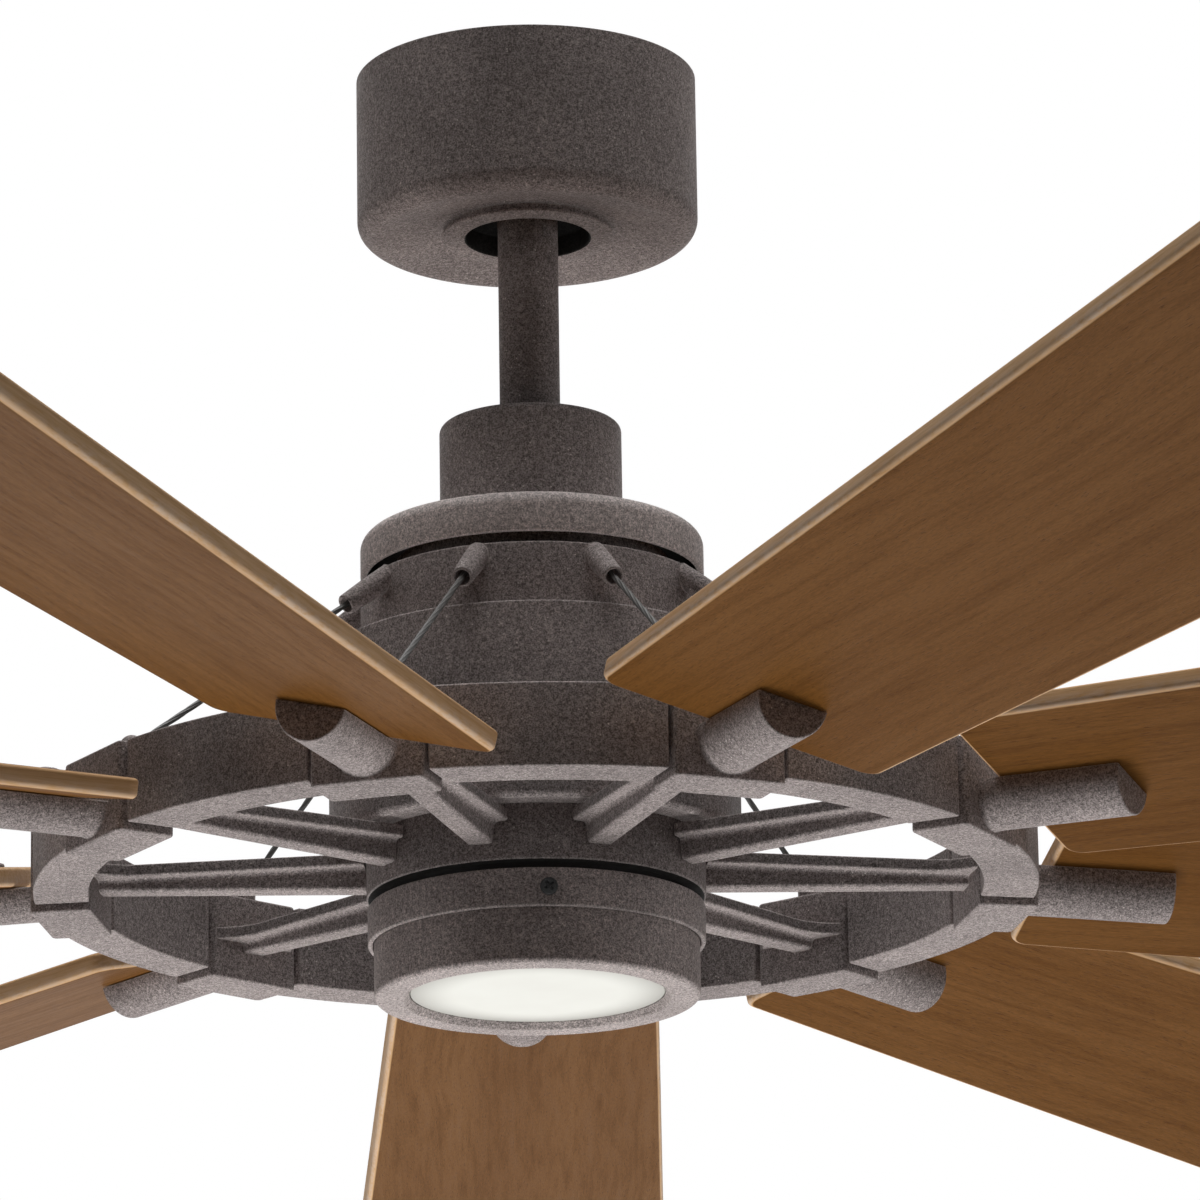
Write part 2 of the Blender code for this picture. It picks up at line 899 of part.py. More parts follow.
def half_round(extra):
    """The tongue's section: flat on top at zero, half an ellipse below, in XY with Y up."""
    half = tongue_width / 2 + extra
    depth = tongue_depth + extra
    steps = 10
    return [
        (-half * math.cos(math.pi * step / steps), -depth * math.sin(math.pi * step / steps))
        for step in range(steps + 1)
    ]


def section_along_x(outline, start, end):
    """An outline drawn in Y and Z made solid along X."""
    turn = Matrix(((0, 0, 1, 0), (1, 0, 0, 0), (0, 1, 0, 0), (0, 0, 0, 1)))
    return placed(slab(outline, end - start), Matrix.Translation((start, 0, 0)) @ turn)


def tongue():
    """The half-round bar that the blade lies on, flared where it leaves the block."""
    bar = section_along_x(half_round(0), -block_length / 2, tongue_length)
    flare = section_along_x(half_round(0), -SINK, tongue_flare_length)
    wide = 1 + 2 * tongue_flare / tongue_width
    deep = 1 + tongue_flare / tongue_depth
    for vertex in flare.vertices:
        if vertex.co.x < 0:
            vertex.co.y *= wide
            vertex.co.z *= deep
    return joined(bar, flare)


def spoke_flange_plate():
    """The spoke's wide top, in plan, splayed where it meets the block."""
    start = hub_radius + GAP
    splay = block_back - spoke_root_length
    half = spoke_width / 2
    root = spoke_root_width / 2
    outline = [
        (start, -half),
        (splay, -half),
        (block_back, -root),
        (block_back + SINK, -root),
        (block_back + SINK, root),
        (block_back, root),
        (splay, half),
        (start, half),
    ]
    return placed(
        slab(outline, spoke_flange), Matrix.Translation((0, 0, spoke_top - spoke_flange))
    )


def spoke_rib():
    """The spoke's deep rib, shallower towards the rim."""
    start = hub_radius + GAP
    end = block_back + SINK
    top = spoke_top - spoke_flange / 2
    bottom = spoke_top - spoke_flange - rib_hub_depth
    half_top = rib_width / 2
    half_foot = rib_foot_width / 2
    outline = [
        (-half_top, top),
        (-half_foot, bottom + rib_edge),
        (rib_edge - half_foot, bottom),
        (half_foot - rib_edge, bottom),
        (half_foot, bottom + rib_edge),
        (half_top, top),
    ]
    rib = section_along_x(outline, start, end)
    rise = rib_hub_depth - rib_rim_depth
    middle = (start + end) / 2
    for vertex in rib.vertices:
        if vertex.co.x > middle and vertex.co.z < top - rib_edge:
            vertex.co.z += rise
    return rib


def blade_screw(place):
    """A screw through the blade into the tongue, head up, in the blade's frame."""
    shank = screw_diameter / 2
    seat = GAP + blade_thickness + GAP
    head = screw_head_diameter / 2
    profile = [
        (0, seat + screw_head_height),
        (head / 2, seat + screw_head_height),
        (head, seat),
        (shank, seat),
        (shank, -tongue_depth / 2),
        (0, -tongue_depth / 2),
    ]
    return placed(turned(profile, 8), Matrix.Translation((place, 0, 0)))


def blade_arm():
    """One casting: spoke, rim block and tongue, with the cable's boss and the blade's two screws."""
    height = rim_top - block_bottom
    block = bevelled(
        box(
            (block_length, block_width, height),
            ((block_back + block_face) / 2, 0, (rim_top + block_bottom) / 2),
        ),
        block_edge,
    )
    radius = boss_diameter / 2
    dome = arc(0, boss_level, radius, 90, 0, 3)
    boss = turned([*dome, (radius, rim_top - SINK), (0, rim_top - SINK)], SMALL_STEPS)
    boss = placed(boss, Matrix.Translation((boss_radius_from_axis, 0, 0)))
    screws = [blade_screw(screw_first + screw_pitch * number) for number in range(2)]
    seated = [placed(mesh, blade_frame()) for mesh in (tongue(), *screws)]
    pieces = (*seated, spoke_flange_plate(), spoke_rib(), boss)
    body = joined(block, *pieces, solver="MANIFOLD")
    hole = placed(
        rod(cable_diameter / 2 + GAP, radius + OVERRUN, radius - cable_seat, 8),
        Matrix.Translation((boss_radius_from_axis, 0, boss_level)) @ cable_turn_back(),
    )
    return cut(body, hole, solver="MANIFOLD")


def cable_turn_back():
    """Turns Z to point from the boss back up the cable."""
    outwards, up = stay_direction()
    return Matrix.Rotation(math.atan2(-outwards, -up), 4, "Y")


def blade():
    """One wooden blade, wider towards its tip, drawn in its seat's frame."""
    root = blade_root_gap
    tip = sweep_diameter / 2 - block_face
    outline = filleted(
        [
            (root, -blade_root_lead, blade_root_corner),
            (tip, -blade_tip_lead, blade_tip_corner),
            (tip, blade_tip_trail, blade_tip_corner),
            (root, blade_root_trail, blade_root_corner),
        ]
    )
    board = bevelled(slab(outline, blade_thickness), blade_edge)
    board = placed(board, Matrix.Translation((0, 0, GAP)))
    holes = [
        placed(
            rod(screw_diameter / 2 + GAP, blade_thickness + OVERRUN, -OVERRUN, 8),
            Matrix.Translation((screw_first + screw_pitch * number, 0, 0)),
        )
        for number in range(2)
    ]
    return cut(board, *holes)


def rim_section(inset):
    """The rim's bevelled section in radius and level, drawn in on all sides."""
    outer = rim_radius - inset
    inner = rim_radius - rim_width + inset
    top = rim_top - inset
    bottom = rim_bottom + inset
    return [
        (outer, top - rim_edge),
        (outer, bottom + rim_edge),
        (outer - rim_edge, bottom),
        (inner + rim_edge, bottom),
        (inner, bottom + rim_edge),
        (inner, top - rim_edge),
        (inner + rim_edge, top),
        (outer - rim_edge, top),
    ]


def rim_bar(inset, clear):
    """The rim between two arms, its ends parallel to the arms and this far to their side."""
    half_turn = math.pi / BLADES
    start = clear / math.sin(half_turn)
    end = start + rim_diameter * math.cos(half_turn)
    half = rim_diameter * math.sin(half_turn)
    wedge = slab([(start, 0), (end, -half), (end, half)], rim_height + 2 * OVERRUN)
    wedge = placed(wedge, Matrix.Translation((0, 0, rim_bottom - OVERRUN)))
    return combined(turned(rim_section(inset), RIM_STEPS), "INTERSECT", [wedge], "EXACT")


def rim_segment():
    """A curved bar between two blocks, with a tenon at each end."""
    tip = block_width / 2 + GAP
    return joined(rim_bar(0, tip + rim_tenon_length), rim_bar(rim_tenon_inset, tip))


def stay_cable():
    """A thin cable from the bottom of its tube to its hole in the boss."""
    far = math.hypot(*stay_line()) - boss_diameter / 2 + cable_seat - GAP
    near = tube_length - tube_bore_depth + GAP
    return placed(rod(cable_diameter / 2, far, near, 8), along_stay(0))


# Light


def light_screw_bar(radius, start, end, steps=SMALL_STEPS):
    """A bar square to the light's side where its screw goes, between two distances from the axis."""
    turn = Matrix.Rotation(light_screw_azimuth - math.pi / 2, 4, "Z")
    lay = Matrix.Translation((0, 0, light_screw_level)) @ Matrix.Rotation(math.pi / 2, 4, "Y")
    return placed(rod(radius, end, start, steps), turn @ lay)


def light_pan():
    """The still pan under the hub that the light's housing fits into."""
    outer = pan_radius
    inner = outer - pan_wall
    bore = shaft_radius + GAP
    ceiling = pan_top - pan_wall
    boss = pan_boss_diameter / 2
    body = turned(
        [
            (bore, pan_top),
            (outer, pan_top),
            (outer, pan_bottom),
            (inner, pan_bottom),
            (inner, ceiling),
            (boss, ceiling),
            (boss, ceiling - pan_boss_length),
            (bore, ceiling - pan_boss_length),
        ]
    )
    hole = light_screw_bar(light_screw_diameter / 2 + GAP, inner - OVERRUN, outer + OVERRUN)
    return cut(body, hole)


def light_housing():
    """The lower cylinder of the light, with the lip that holds the lens."""
    outer = housing_diameter / 2
    inner = outer - housing_wall
    lip_inner = outer - lip_width
    lip_top = housing_bottom + lip_height
    corner = arc(outer - housing_corner, housing_bottom + housing_corner, housing_corner, 0, -90, 3)
    body = turned(
        [
            (outer, housing_top),
            *corner,
            (lip_inner, housing_bottom),
            (lip_inner, lip_top),
            (inner, lip_top),
            (inner, housing_top),
        ]
    )
    hole = light_screw_bar(light_screw_diameter / 2 + GAP, inner - OVERRUN, outer + OVERRUN)
    return cut(body, hole)


def light_screw():
    """The black screw in the light's side, with a cross recess."""
    pan = pan_radius
    head = light_screw_head_diameter / 2
    start = housing_diameter / 2 - housing_wall - GAP
    shank = light_screw_bar(light_screw_diameter / 2, start, pan + SINK)
    face = pan + GAP + light_screw_head_height
    dome = turned(
        [
            (0, face),
            (head / 2, face),
            (head, pan + light_screw_head_height / 2),
            (head, pan + GAP),
            (0, pan + GAP),
        ],
        SMALL_STEPS,
    )
    turn = Matrix.Rotation(light_screw_azimuth - math.pi / 2, 4, "Z")
    lay = Matrix.Translation((0, 0, light_screw_level)) @ Matrix.Rotation(math.pi / 2, 4, "Y")
    wide = light_screw_slot_length
    narrow = light_screw_slot
    slots = []
    for across in ((narrow, wide), (wide, narrow)):
        size = (*across, 2 * light_screw_slot_depth)
        slots.append(placed(box(size, (0, 0, face)), turn @ lay))
    head_and_shank = joined(placed(dome, turn @ lay), shank, solver="MANIFOLD")
    return cut(head_and_shank, *slots, solver="MANIFOLD")


def led_module():
    """A shallow metal cup over the lens, with the driver on its back and chips below."""
    outer = housing_diameter / 2 - housing_wall - GAP
    foot = lens_level + lens_flange + GAP
    top = foot + module_skirt
    under = top - module_sheet
    cup = turned(
        [
            (0, top),
            (outer, top),
            (outer, foot),
            (outer - module_wall, foot),
            (outer - module_wall, under),
            (0, under),
        ]
    )
    driver = box(
        (driver_length, driver_width, driver_height),
        (0, 0, top + driver_height / 2 - module_sheet / 2),
    )
    dots = []
    for index in range(chips):
        turn = 2 * math.pi * index / chips
        place = (chip_ring_diameter / 2 * math.cos(turn), chip_ring_diameter / 2 * math.sin(turn), 0)
        dot = rod(chip_diameter / 2, under + module_sheet / 2, under - chip_height, 8)
        dots.append(placed(dot, Matrix.Translation(place)))
    return joined(cup, driver, *dots)


def lens():
    """The frosted lens, resting on the housing's lip and slightly crowned below."""
    outer = housing_diameter / 2 - housing_wall - GAP
    opening = housing_diameter / 2 - lip_width - GAP
    top = lens_level + lens_flange
    return turned(
        [
            (0, top),
            (outer, top),
            (outer, lens_level),
            (opening, lens_level),
            (opening - lens_step, lens_level - lens_crown / 2),
            (0, lens_level - lens_crown),
        ]
    )


# Assembly

tilt_axis = empty("tilt_axis", ball_level)
spin_axis = empty("spin_axis", 0, 0, tilt_axis)
spin_axis.location.z = -ball_level


def hung(name, mesh, finish):
    """A still piece below the ball, drawn from the ceiling, that tilts with the rod."""
    made = new_object(name, mesh, finish, tilt_axis)
    made.location.z = -ball_level
    return made


new_object("hanger_bracket", hanger_bracket(), bright_steel)
new_object("canopy", canopy(), weathered_zinc)
new_object("canopy_trim_ring", canopy_trim_ring(), weathered_zinc)

new_object("hanger_ball", hanger_ball(), black_steel, tilt_axis)
ball_pin = cross_bar(pin_diameter / 2, ball_pin_length, ball_pin_rise)
new_object("ball_pin", ball_pin, bright_steel, tilt_axis)
new_object("downrod", downrod(), weathered_zinc, tilt_axis)
hung("coupling_yoke", coupling_yoke(), black_steel)
yoke_pin = cross_bar(pin_diameter / 2, yoke_pin_length, yoke_top - yoke_pin_drop)
hung("yoke_pin", yoke_pin, bright_steel)
cover = hung("coupling_cover", coupling_cover(), weathered_zinc)
cover.location.z += cover_top
hung("motor_cap", motor_cap(), weathered_zinc)
hung("motor_shaft", motor_shaft(), bright_steel)
hung("stator", stator(), copper)
hung("light_pan", light_pan(), weathered_zinc)
hung("light_housing", light_housing(), weathered_zinc)
hung("light_screw", light_screw(), black_steel)
hung("led_module", led_module(), bright_steel)
hung("lens", lens(), opal)

new_object("stay_collar", stay_collar(), weathered_zinc, spin_axis)
new_object("motor_drum", motor_drum(), weathered_zinc, spin_axis)
new_object("magnet_ring", magnet_ring(), black_steel, spin_axis)
new_object("rotor_floor", rotor_floor(), weathered_zinc, spin_axis)
new_object("spoke_hub", spoke_hub(), weathered_zinc, spin_axis)
upper_bearing = new_object("upper_bearing", bearing(), bright_steel, spin_axis)
upper_bearing.location.z = upper_bearing_top
lower_bearing = new_object("lower_bearing", bearing(), bright_steel, spin_axis)
lower_bearing.location.z = lower_bearing_top

arm_mesh = blade_arm()
blade_mesh = blade()
cable_mesh = stay_cable()
segment_mesh = rim_segment()
for index in range(BLADES):
    number = index + 1
    station = empty(f"arm_station_{number}", 0, arm_turn(index), spin_axis)
    new_object(f"blade_arm_{number}", arm_mesh, weathered_zinc, station)
    seat = new_object(f"blade_{number}", blade_mesh, walnut, station)
    seat.location = (block_face, 0, tongue_level)
    seat.rotation_euler = (-blade_pitch, blade_droop, 0)
    new_object(f"stay_cable_{number}", cable_mesh, bright_steel, station)
    between = empty(f"rim_station_{number}", 0, arm_turn(index) + math.pi / BLADES, spin_axis)
    new_object(f"rim_segment_{number}", segment_mesh, weathered_zinc, between)
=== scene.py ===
"""Ceiling fan with nine walnut blades on a spoked rim, dressed for the photograph.

Sizes are in millimetres and become metres when a mesh is made. Z is up and zero is the ceiling. Each
arm is drawn in its own frame, X outwards and Y towards its blade's trailing edge, then turned into place.
A shell is a pair of arrays: its points, one row each, and its four-sided faces.
"""

import math

import bmesh
import bpy
import numpy as np
from mathutils import Matrix, Vector


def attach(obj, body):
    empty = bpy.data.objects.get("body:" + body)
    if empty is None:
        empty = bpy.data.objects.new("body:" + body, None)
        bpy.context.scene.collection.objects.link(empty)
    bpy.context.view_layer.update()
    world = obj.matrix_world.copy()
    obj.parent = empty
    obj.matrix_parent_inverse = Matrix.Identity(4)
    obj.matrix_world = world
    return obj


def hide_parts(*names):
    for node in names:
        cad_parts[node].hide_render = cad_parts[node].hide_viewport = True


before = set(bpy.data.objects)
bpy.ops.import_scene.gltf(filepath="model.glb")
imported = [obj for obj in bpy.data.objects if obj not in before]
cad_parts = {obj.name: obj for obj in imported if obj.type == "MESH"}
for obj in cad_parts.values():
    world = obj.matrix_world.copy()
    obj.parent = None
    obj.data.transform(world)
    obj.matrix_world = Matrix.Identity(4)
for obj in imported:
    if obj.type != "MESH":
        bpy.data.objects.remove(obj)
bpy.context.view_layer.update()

MM = 0.001
BLADES = 9
FIRST_ARM = math.radians(-108.25)
PITCH = math.radians(14.0)
DROOP = math.radians(1.56)

# How near two points are welded, and how short an edge is dissolved
WELD = 0.002
SLIVER = 0.001

# Radii, from the fan's axis
CANOPY = 72.0
CANOPY_BORE = 70.4
CANOPY_HOLE = 28.4
TRIM = 36.4
TRIM_HOLE = 26.2
TRIM_STUD_PLACE = 30.5
ROD = 12.7
ROD_BORE = 10.9
COVER = 38.2
COVER_BORE = 36.6
COVER_HOLE = 13.2
CAP = 71.7
CAP_BORE = 68.7
SHAFT_HOLE = 10.3
BAND = 71.7
BAND_BORE = 68.7
NECK = 57.0
NECK_BORE = 54.0
BEARING_SEAT = 24.8
BEARING_HOLE = 21.3
DRUM = 85.3
DRUM_BORE = 82.3
DRUM_HOLE = 30.0
FLOOR_OUTER = 82.0
FLOOR_STEP = 70.4
HUB_BORE = 57.5
HUB = 70.1
HUB_SKIRT = 64.1
PAN = 69.7
PAN_BORE = 67.7
PAN_BOSS = 18.0
HOUSING = 67.2
HOUSING_BORE = 65.2
LENS = 64.9
LENS_CROWN = 52.3
BOSS = 190.0
RIM_OUTER = 207.4
RIM_INNER = 184.5
BLOCK_FACE = 208.5
BLOCK_BACK = 183.0

# Levels, from the ceiling
ROD_TOP = -20.0
CANOPY_DISH = -65.3
CANOPY_BOTTOM = -69.7
TRIM_TOP = -61.1
TRIM_LAND = -65.6
TRIM_BOTTOM = -69.8
TRIM_STUD_TOP = -44.2
TRIM_STUD_BOTTOM = -69.2
COVER_TOP = -153.5
COVER_BOTTOM = -201.2
ROD_BOTTOM = -192.0
CAP_TOP = -201.5
CAP_BOTTOM = -219.4
NECK_TOP = -213.0
BAND_TOP = -224.0
BAND_WEB_BOTTOM = -232.1
BAND_SEAT_BOTTOM = -241.0
BAND_BOTTOM = -252.7
DRUM_TOP = -253.0
DRUM_BOTTOM = -335.2
FLOOR_TOP = -329.0
FLOOR_LAND = -332.7
FLOOR_BOTTOM = -334.6
HUB_TOP = -333.0
HUB_SEAT_TOP = -341.0
HUB_WEB_TOP = -344.0
HUB_WEB_BOTTOM = -350.0
HUB_SEAT_BOTTOM = -354.5
HUB_BOTTOM = -357.6
RIM_TOP = -321.5
RIM_BOTTOM = -355.5
BLOCK_BOTTOM = -358.5
BOSS_LEVEL = -317.0
SPOKE_TOP = -337.0
TONGUE_LEVEL = -341.3
STAY_ROOT_LEVEL = -229.8
PAN_TOP = -361.0
PAN_BOTTOM = -377.2
HOUSING_TOP = -364.0
HOUSING_BOTTOM = -399.9
LENS_LEVEL = -395.7
SCREW_LEVEL = -369.3
SCREW_AZIMUTH = math.radians(4.4)

# The studio's floor, in metres
STUDIO_LEVEL = -2.7
STUDIO_REACH = 14.0

# Walls
CANOPY_WALL = 1.6
COVER_WALL = 1.6
CAP_WALL = 3.0
CAP_BOSS = 14.5
DRUM_WALL = 3.0
PAN_WALL = 2.0
PAN_BOSS_WALL = 5.0

# Stays, arms and blades
TUBE_LENGTH = 23.0
TUBE_BORE_DEPTH = 12.0
STRANDS = 6
STRAND_PITCH = 60.0
BLOCK_HALF = 23.3
BOSS_HALF = 5.0
BOSS_HEIGHT = 4.5
TENON = 1.5
TONGUE_LENGTH = 62.0
TONGUE_HALF = 14.5
TONGUE_DEPTH = 15.0
SPOKE_HALF = 12.0
SPOKE_SPREAD = 9.0
SPOKE_SPREAD_START = 165.0
SPOKE_RIB_AT_HUB = 14.0
SPOKE_RIB_AT_BLOCK = 9.0
BOARD_BOTTOM = 0.3
BOARD_TOP = 8.8
SCREW_SEAT = 9.1
SCREW_PLACES = (20, 50)


# Shells


def grid_faces(rows, columns, closed_rows=False):
    """The faces of a grid whose columns close on themselves, and its rows too if asked."""
    last = rows if closed_rows else rows - 1
    i, j = np.meshgrid(np.arange(last), np.arange(columns), indexing="ij")
    below = (i + 1) % rows
    beside = (j + 1) % columns
    here, under = i * columns, below * columns
    return np.stack([here + j, here + beside, under + beside, under + j], -1).reshape(-1, 4)


def shell(points, closed_rows=False):
    """A shell from points on a grid of rows and columns."""
    rows, columns = points.shape[:2]
    return points.reshape(-1, 3), grid_faces(rows, columns, closed_rows)


def together(*shells):
    """Several shells as one, each face's numbers moved on by the points before it."""
    counts = np.cumsum([0] + [len(points) for points, _ in shells])
    points = np.concatenate([part[0] for part in shells])
    faces = np.concatenate([part[1] + start for part, start in zip(shells, counts)])
    return points, faces


def moved(part, matrix):
    """Each point times a 4 by 4 matrix."""
    points, faces = part
    return points @ matrix[:3, :3].T + matrix[:3, 3], faces


def shift(x, y, z):
    """The matrix that moves each point by (x, y, z)."""
    matrix = np.eye(4)
    matrix[:3, 3] = (x, y, z)
    return matrix


def turn(axis, angle):
    """The rotation matrix about X, Y or Z, by the right-hand rule."""
    c, s = math.cos(angle), math.sin(angle)
    first, second = [(1, 2), (2, 0), (0, 1)]["XYZ".index(axis)]
    matrix = np.eye(4)
    matrix[first, first] = matrix[second, second] = c
    matrix[first, second] = -s
    matrix[second, first] = s
    return matrix


def rounded(corners, closed=True, steps=6):
    """An outline with rounded corners. Each corner is (x, y) or (x, y, radius).

    An arc of the given radius touches both sides at radius / tan(half the corner's angle) from the corner.
    Each of its points is its start and its end weighted by the sines of the sweeps left and gone, over the
    sine of the whole sweep. Every corner gives steps + 1 points, so outlines with the same corners can be
    lofted.
    """
    points = []
    count = len(corners)
    for index, (x, y, *rest) in enumerate(corners):
        here = np.array((x, y), float)
        radius = rest[0] if rest else 0
        if not radius or (not closed and index in (0, count - 1)):
            points.append(np.repeat(here[None], steps + 1 if closed else 1, 0))
            continue
        to_last, to_next = (
            (np.array(corners[other][:2], float) - here) for other in (index - 1, (index + 1) % count)
        )
        to_last = to_last / np.linalg.norm(to_last)
        to_next = to_next / np.linalg.norm(to_next)
        half = math.acos(np.clip(to_last @ to_next, -1, 1)) / 2
        middle = (to_last + to_next) / np.linalg.norm(to_last + to_next)
        centre = here + middle * radius / math.sin(half)
        start = here + to_last * radius / math.tan(half) - centre
        end = here + to_next * radius / math.tan(half) - centre
        share = np.linspace(0, 1, steps + 1)[:, None]
        sweep = math.pi - 2 * half
        arc = np.sin((1 - share) * sweep) * start + np.sin(share * sweep) * end
        points.append(centre + arc / math.sin(sweep))
    return np.concatenate(points)


def turned(outline, steps=160):
    """An outline of (radius, level) carried round Z: x = r cos t, y = r sin t."""
    angle = np.linspace(0, 2 * math.pi, steps, endpoint=False)
    radius, level = outline[:, :1], outline[:, 1:]
    points = np.stack([radius * np.cos(angle), radius * np.sin(angle), level + 0 * angle], -1)
    open_ends = outline[0, 0] == 0 and outline[-1, 0] == 0
    return shell(points, closed_rows=not open_ends)


def capped(sections):
    """Sections one after the other, each end drawn together at its middle."""
    first = np.broadcast_to(sections[0].mean(0), sections[0].shape)
    last = np.broadcast_to(sections[-1].mean(0), sections[-1].shape)
    return shell(np.concatenate([first[None], sections, last[None]]))


def along_x(outline, x):
    """An outline in Y and Z, put at one place on X."""
    return np.column_stack([np.full(len(outline), x), outline])


def edged(outline, edge):
    """An outline in plan carried round an edge: each of the edge's rows moves it inwards along its
    normals and sets its level."""
    ahead = np.roll(outline, -1, 0) - np.roll(outline, 1, 0)
    normal = np.column_stack([ahead[:, 1], -ahead[:, 0]]) / np.linalg.norm(ahead, axis=1)[:, None]
    inwards, level = edge[:, :1, None], edge[:, 1:]
    plan = outline[None] - normal[None] * inwards
    return capped(np.concatenate([plan, np.broadcast_to(level[:, :, None], (*plan.shape[:2], 1))], -1))


def screw_head(radius, height, recess, half_width, reach, steps=64):
    """A domed head with a cross recess, its underside at zero and its axis up.

    Over radius r and angle t the top is height (1 - 0.45 (r / radius)^2), lowered by the recess where the
    point lies within half_width of one arm of the cross and within reach of the middle.
    """
    angle = np.linspace(0, 2 * math.pi, steps, endpoint=False)
    r = np.linspace(0, 0.93 * radius, 26)[:, None]
    x, y = np.abs(r * np.cos(angle)), np.abs(r * np.sin(angle))
    soft = 0.12 * half_width

    def within(value, limit):
        """1 below the limit and 0 above it, falling evenly over the soft width each side of it."""
        return np.clip((limit + soft - value) / (2 * soft), 0, 1)

    one_bar = within(x, half_width) * within(y, reach)
    other_bar = within(y, half_width) * within(x, reach)
    level = height * (1 - 0.45 * (r / radius) ** 2) - recess * np.maximum(one_bar, other_bar)
    top = np.stack([r * np.cos(angle), r * np.sin(angle), level], -1)
    rim = np.array([(radius * 0.985, height * 0.42), (radius, height * 0.25), (radius, 0), (0, 0)])
    side = np.stack([rim[:, :1] * np.cos(angle), rim[:, :1] * np.sin(angle), rim[:, 1:] + 0 * angle], -1)
    return shell(np.concatenate([top, side]))


# Materials


def feed(tree, socket, value):
    """Another node's output is linked to the socket, and a plain value set on it."""
    if isinstance(value, bpy.types.NodeSocket):
        tree.links.new(value, socket)
    else:
        socket.default_value = value


def add_node(tree, kind, values=None, **settings):
    """A node with its settings, and its inputs set to values or linked to other nodes' outputs."""
    made = tree.nodes.new(kind)
    for name, value in settings.items():
        setattr(made, name, value)
    for name, value in (values or {}).items():
        feed(tree, made.inputs[name], value)
    return made


def new_group(name, inputs, outputs):
    """An empty node group with named sockets, and its input and output nodes."""
    tree = bpy.data.node_groups.new(name, "ShaderNodeTree")
    for socket, kind in inputs.items():
        tree.interface.new_socket(socket, in_out="INPUT", socket_type=kind)
    for socket, kind in outputs.items():
        tree.interface.new_socket(socket, in_out="OUTPUT", socket_type=kind)
    given = tree.nodes.new("NodeGroupInput").outputs
    return tree, given, tree.nodes.new("NodeGroupOutput").inputs


def scaled(tree, vector, scale):
    """A place with each of its three coordinates multiplied by its own factor."""
    return add_node(tree, "ShaderNodeMapping", {"Vector": vector, "Scale": scale}).outputs[0]


def noise(tree, vector, scale, detail=2.0, roughness=0.5, distortion=0.0):
    """A cloudy value about 0.5, whose clouds are 1 / scale metres wide."""
    values = {
        "Vector": vector,
        "Scale": scale,
        "Detail": detail,
        "Roughness": roughness,
        "Distortion": distortion,
    }
    return add_node(tree, "ShaderNodeTexNoise", values).outputs[0]


def remap(tree, value, low, high, to_low=0.0, to_high=1.0):
    """A value moved evenly from one range to another and held within it."""
    values = {"Value": value, "From Min": low, "From Max": high, "To Min": to_low, "To Max": to_high}
    return add_node(tree, "ShaderNodeMapRange", values).outputs[0]


def maths(tree, operation, first, second, clamp=False):
    """One operation on two values."""
    values = {0: first, 1: second}
    return add_node(tree, "ShaderNodeMath", values, operation=operation, use_clamp=clamp).outputs[0]


def product(tree, first, second):
    """Two values multiplied."""
    return maths(tree, "MULTIPLY", first, second)


def mixed(tree, factor, first, second, blend="MIX"):
    """Two colours mixed by a factor. The colour sockets of a Mix node come after its others."""
    made = tree.nodes.new("ShaderNodeMix")
    made.data_type = "RGBA"
    made.blend_type = blend
    for socket, value in ((0, factor), (6, first), (7, second)):
        feed(tree, made.inputs[socket], (*value, 1) if isinstance(value, tuple) else value)
    return made.outputs[2]


def shaded(tree, tone, shade):
    """A colour multiplied by a value."""
    grey = add_node(tree, "ShaderNodeCombineColor", {"Red": shade, "Green": shade, "Blue": shade})
    return mixed(tree, 1.0, tone, grey.outputs[0], "MULTIPLY")


def sand_cast_group():
    """Sand-cast grain. The base colour goes to the grit's by a fine noise and is multiplied by a cloudy and
    a coarse one. Specks are the middles of the chosen share of small cells. The height adds grit, coarse
    noise and specks."""
    tree, given, result = new_group(
        "sand_cast",
        {
            "Vector": "NodeSocketVector",
            "Base": "NodeSocketColor",
            "Grit": "NodeSocketColor",
            "Speck": "NodeSocketColor",
            "Speck Share": "NodeSocketFloat",
        },
        {"Color": "NodeSocketColor", "Roughness": "NodeSocketFloat", "Height": "NodeSocketFloat"},
    )
    vector = given["Vector"]
    cloud = noise(tree, vector, 16.0, 5.0, 0.62)
    patches = noise(tree, vector, 60.0, 3.0, 0.6, 0.4)
    grit = noise(tree, vector, 1500.0, 2.0, 0.7)
    coarse = noise(tree, vector, 620.0, 2.0, 0.6)
    cells = add_node(tree, "ShaderNodeTexVoronoi", {"Vector": vector, "Scale": 950.0})
    pick = add_node(tree, "ShaderNodeSeparateColor", {"Color": cells.outputs["Color"]}).outputs[0]
    limit = maths(tree, "SUBTRACT", 1.0, given["Speck Share"])
    chosen = maths(tree, "GREATER_THAN", pick, limit)
    dot = remap(tree, cells.outputs["Distance"], 0.42, 0.18)
    speck = product(tree, chosen, dot)
    speck = product(tree, speck, remap(tree, patches, 0.38, 0.62, 0.15, 1.0))
    dark = product(tree, remap(tree, grit, 0.4, 0.62), 0.95)
    tone = mixed(tree, dark, given["Base"], given["Grit"])
    shade = remap(tree, cloud, 0.3, 0.7, 0.8, 1.16)
    shade = product(tree, shade, remap(tree, coarse, 0.3, 0.7, 0.66, 1.34))
    tone = shaded(tree, tone, shade)
    tree.links.new(mixed(tree, speck, tone, given["Speck"]), result["Color"])
    tree.links.new(remap(tree, patches, 0.3, 0.7, 0.5, 0.68), result["Roughness"])
    height = maths(tree, "ADD", product(tree, grit, 0.5), product(tree, coarse, 0.7))
    tree.links.new(maths(tree, "ADD", height, product(tree, speck, 0.3)), result["Height"])
    return tree


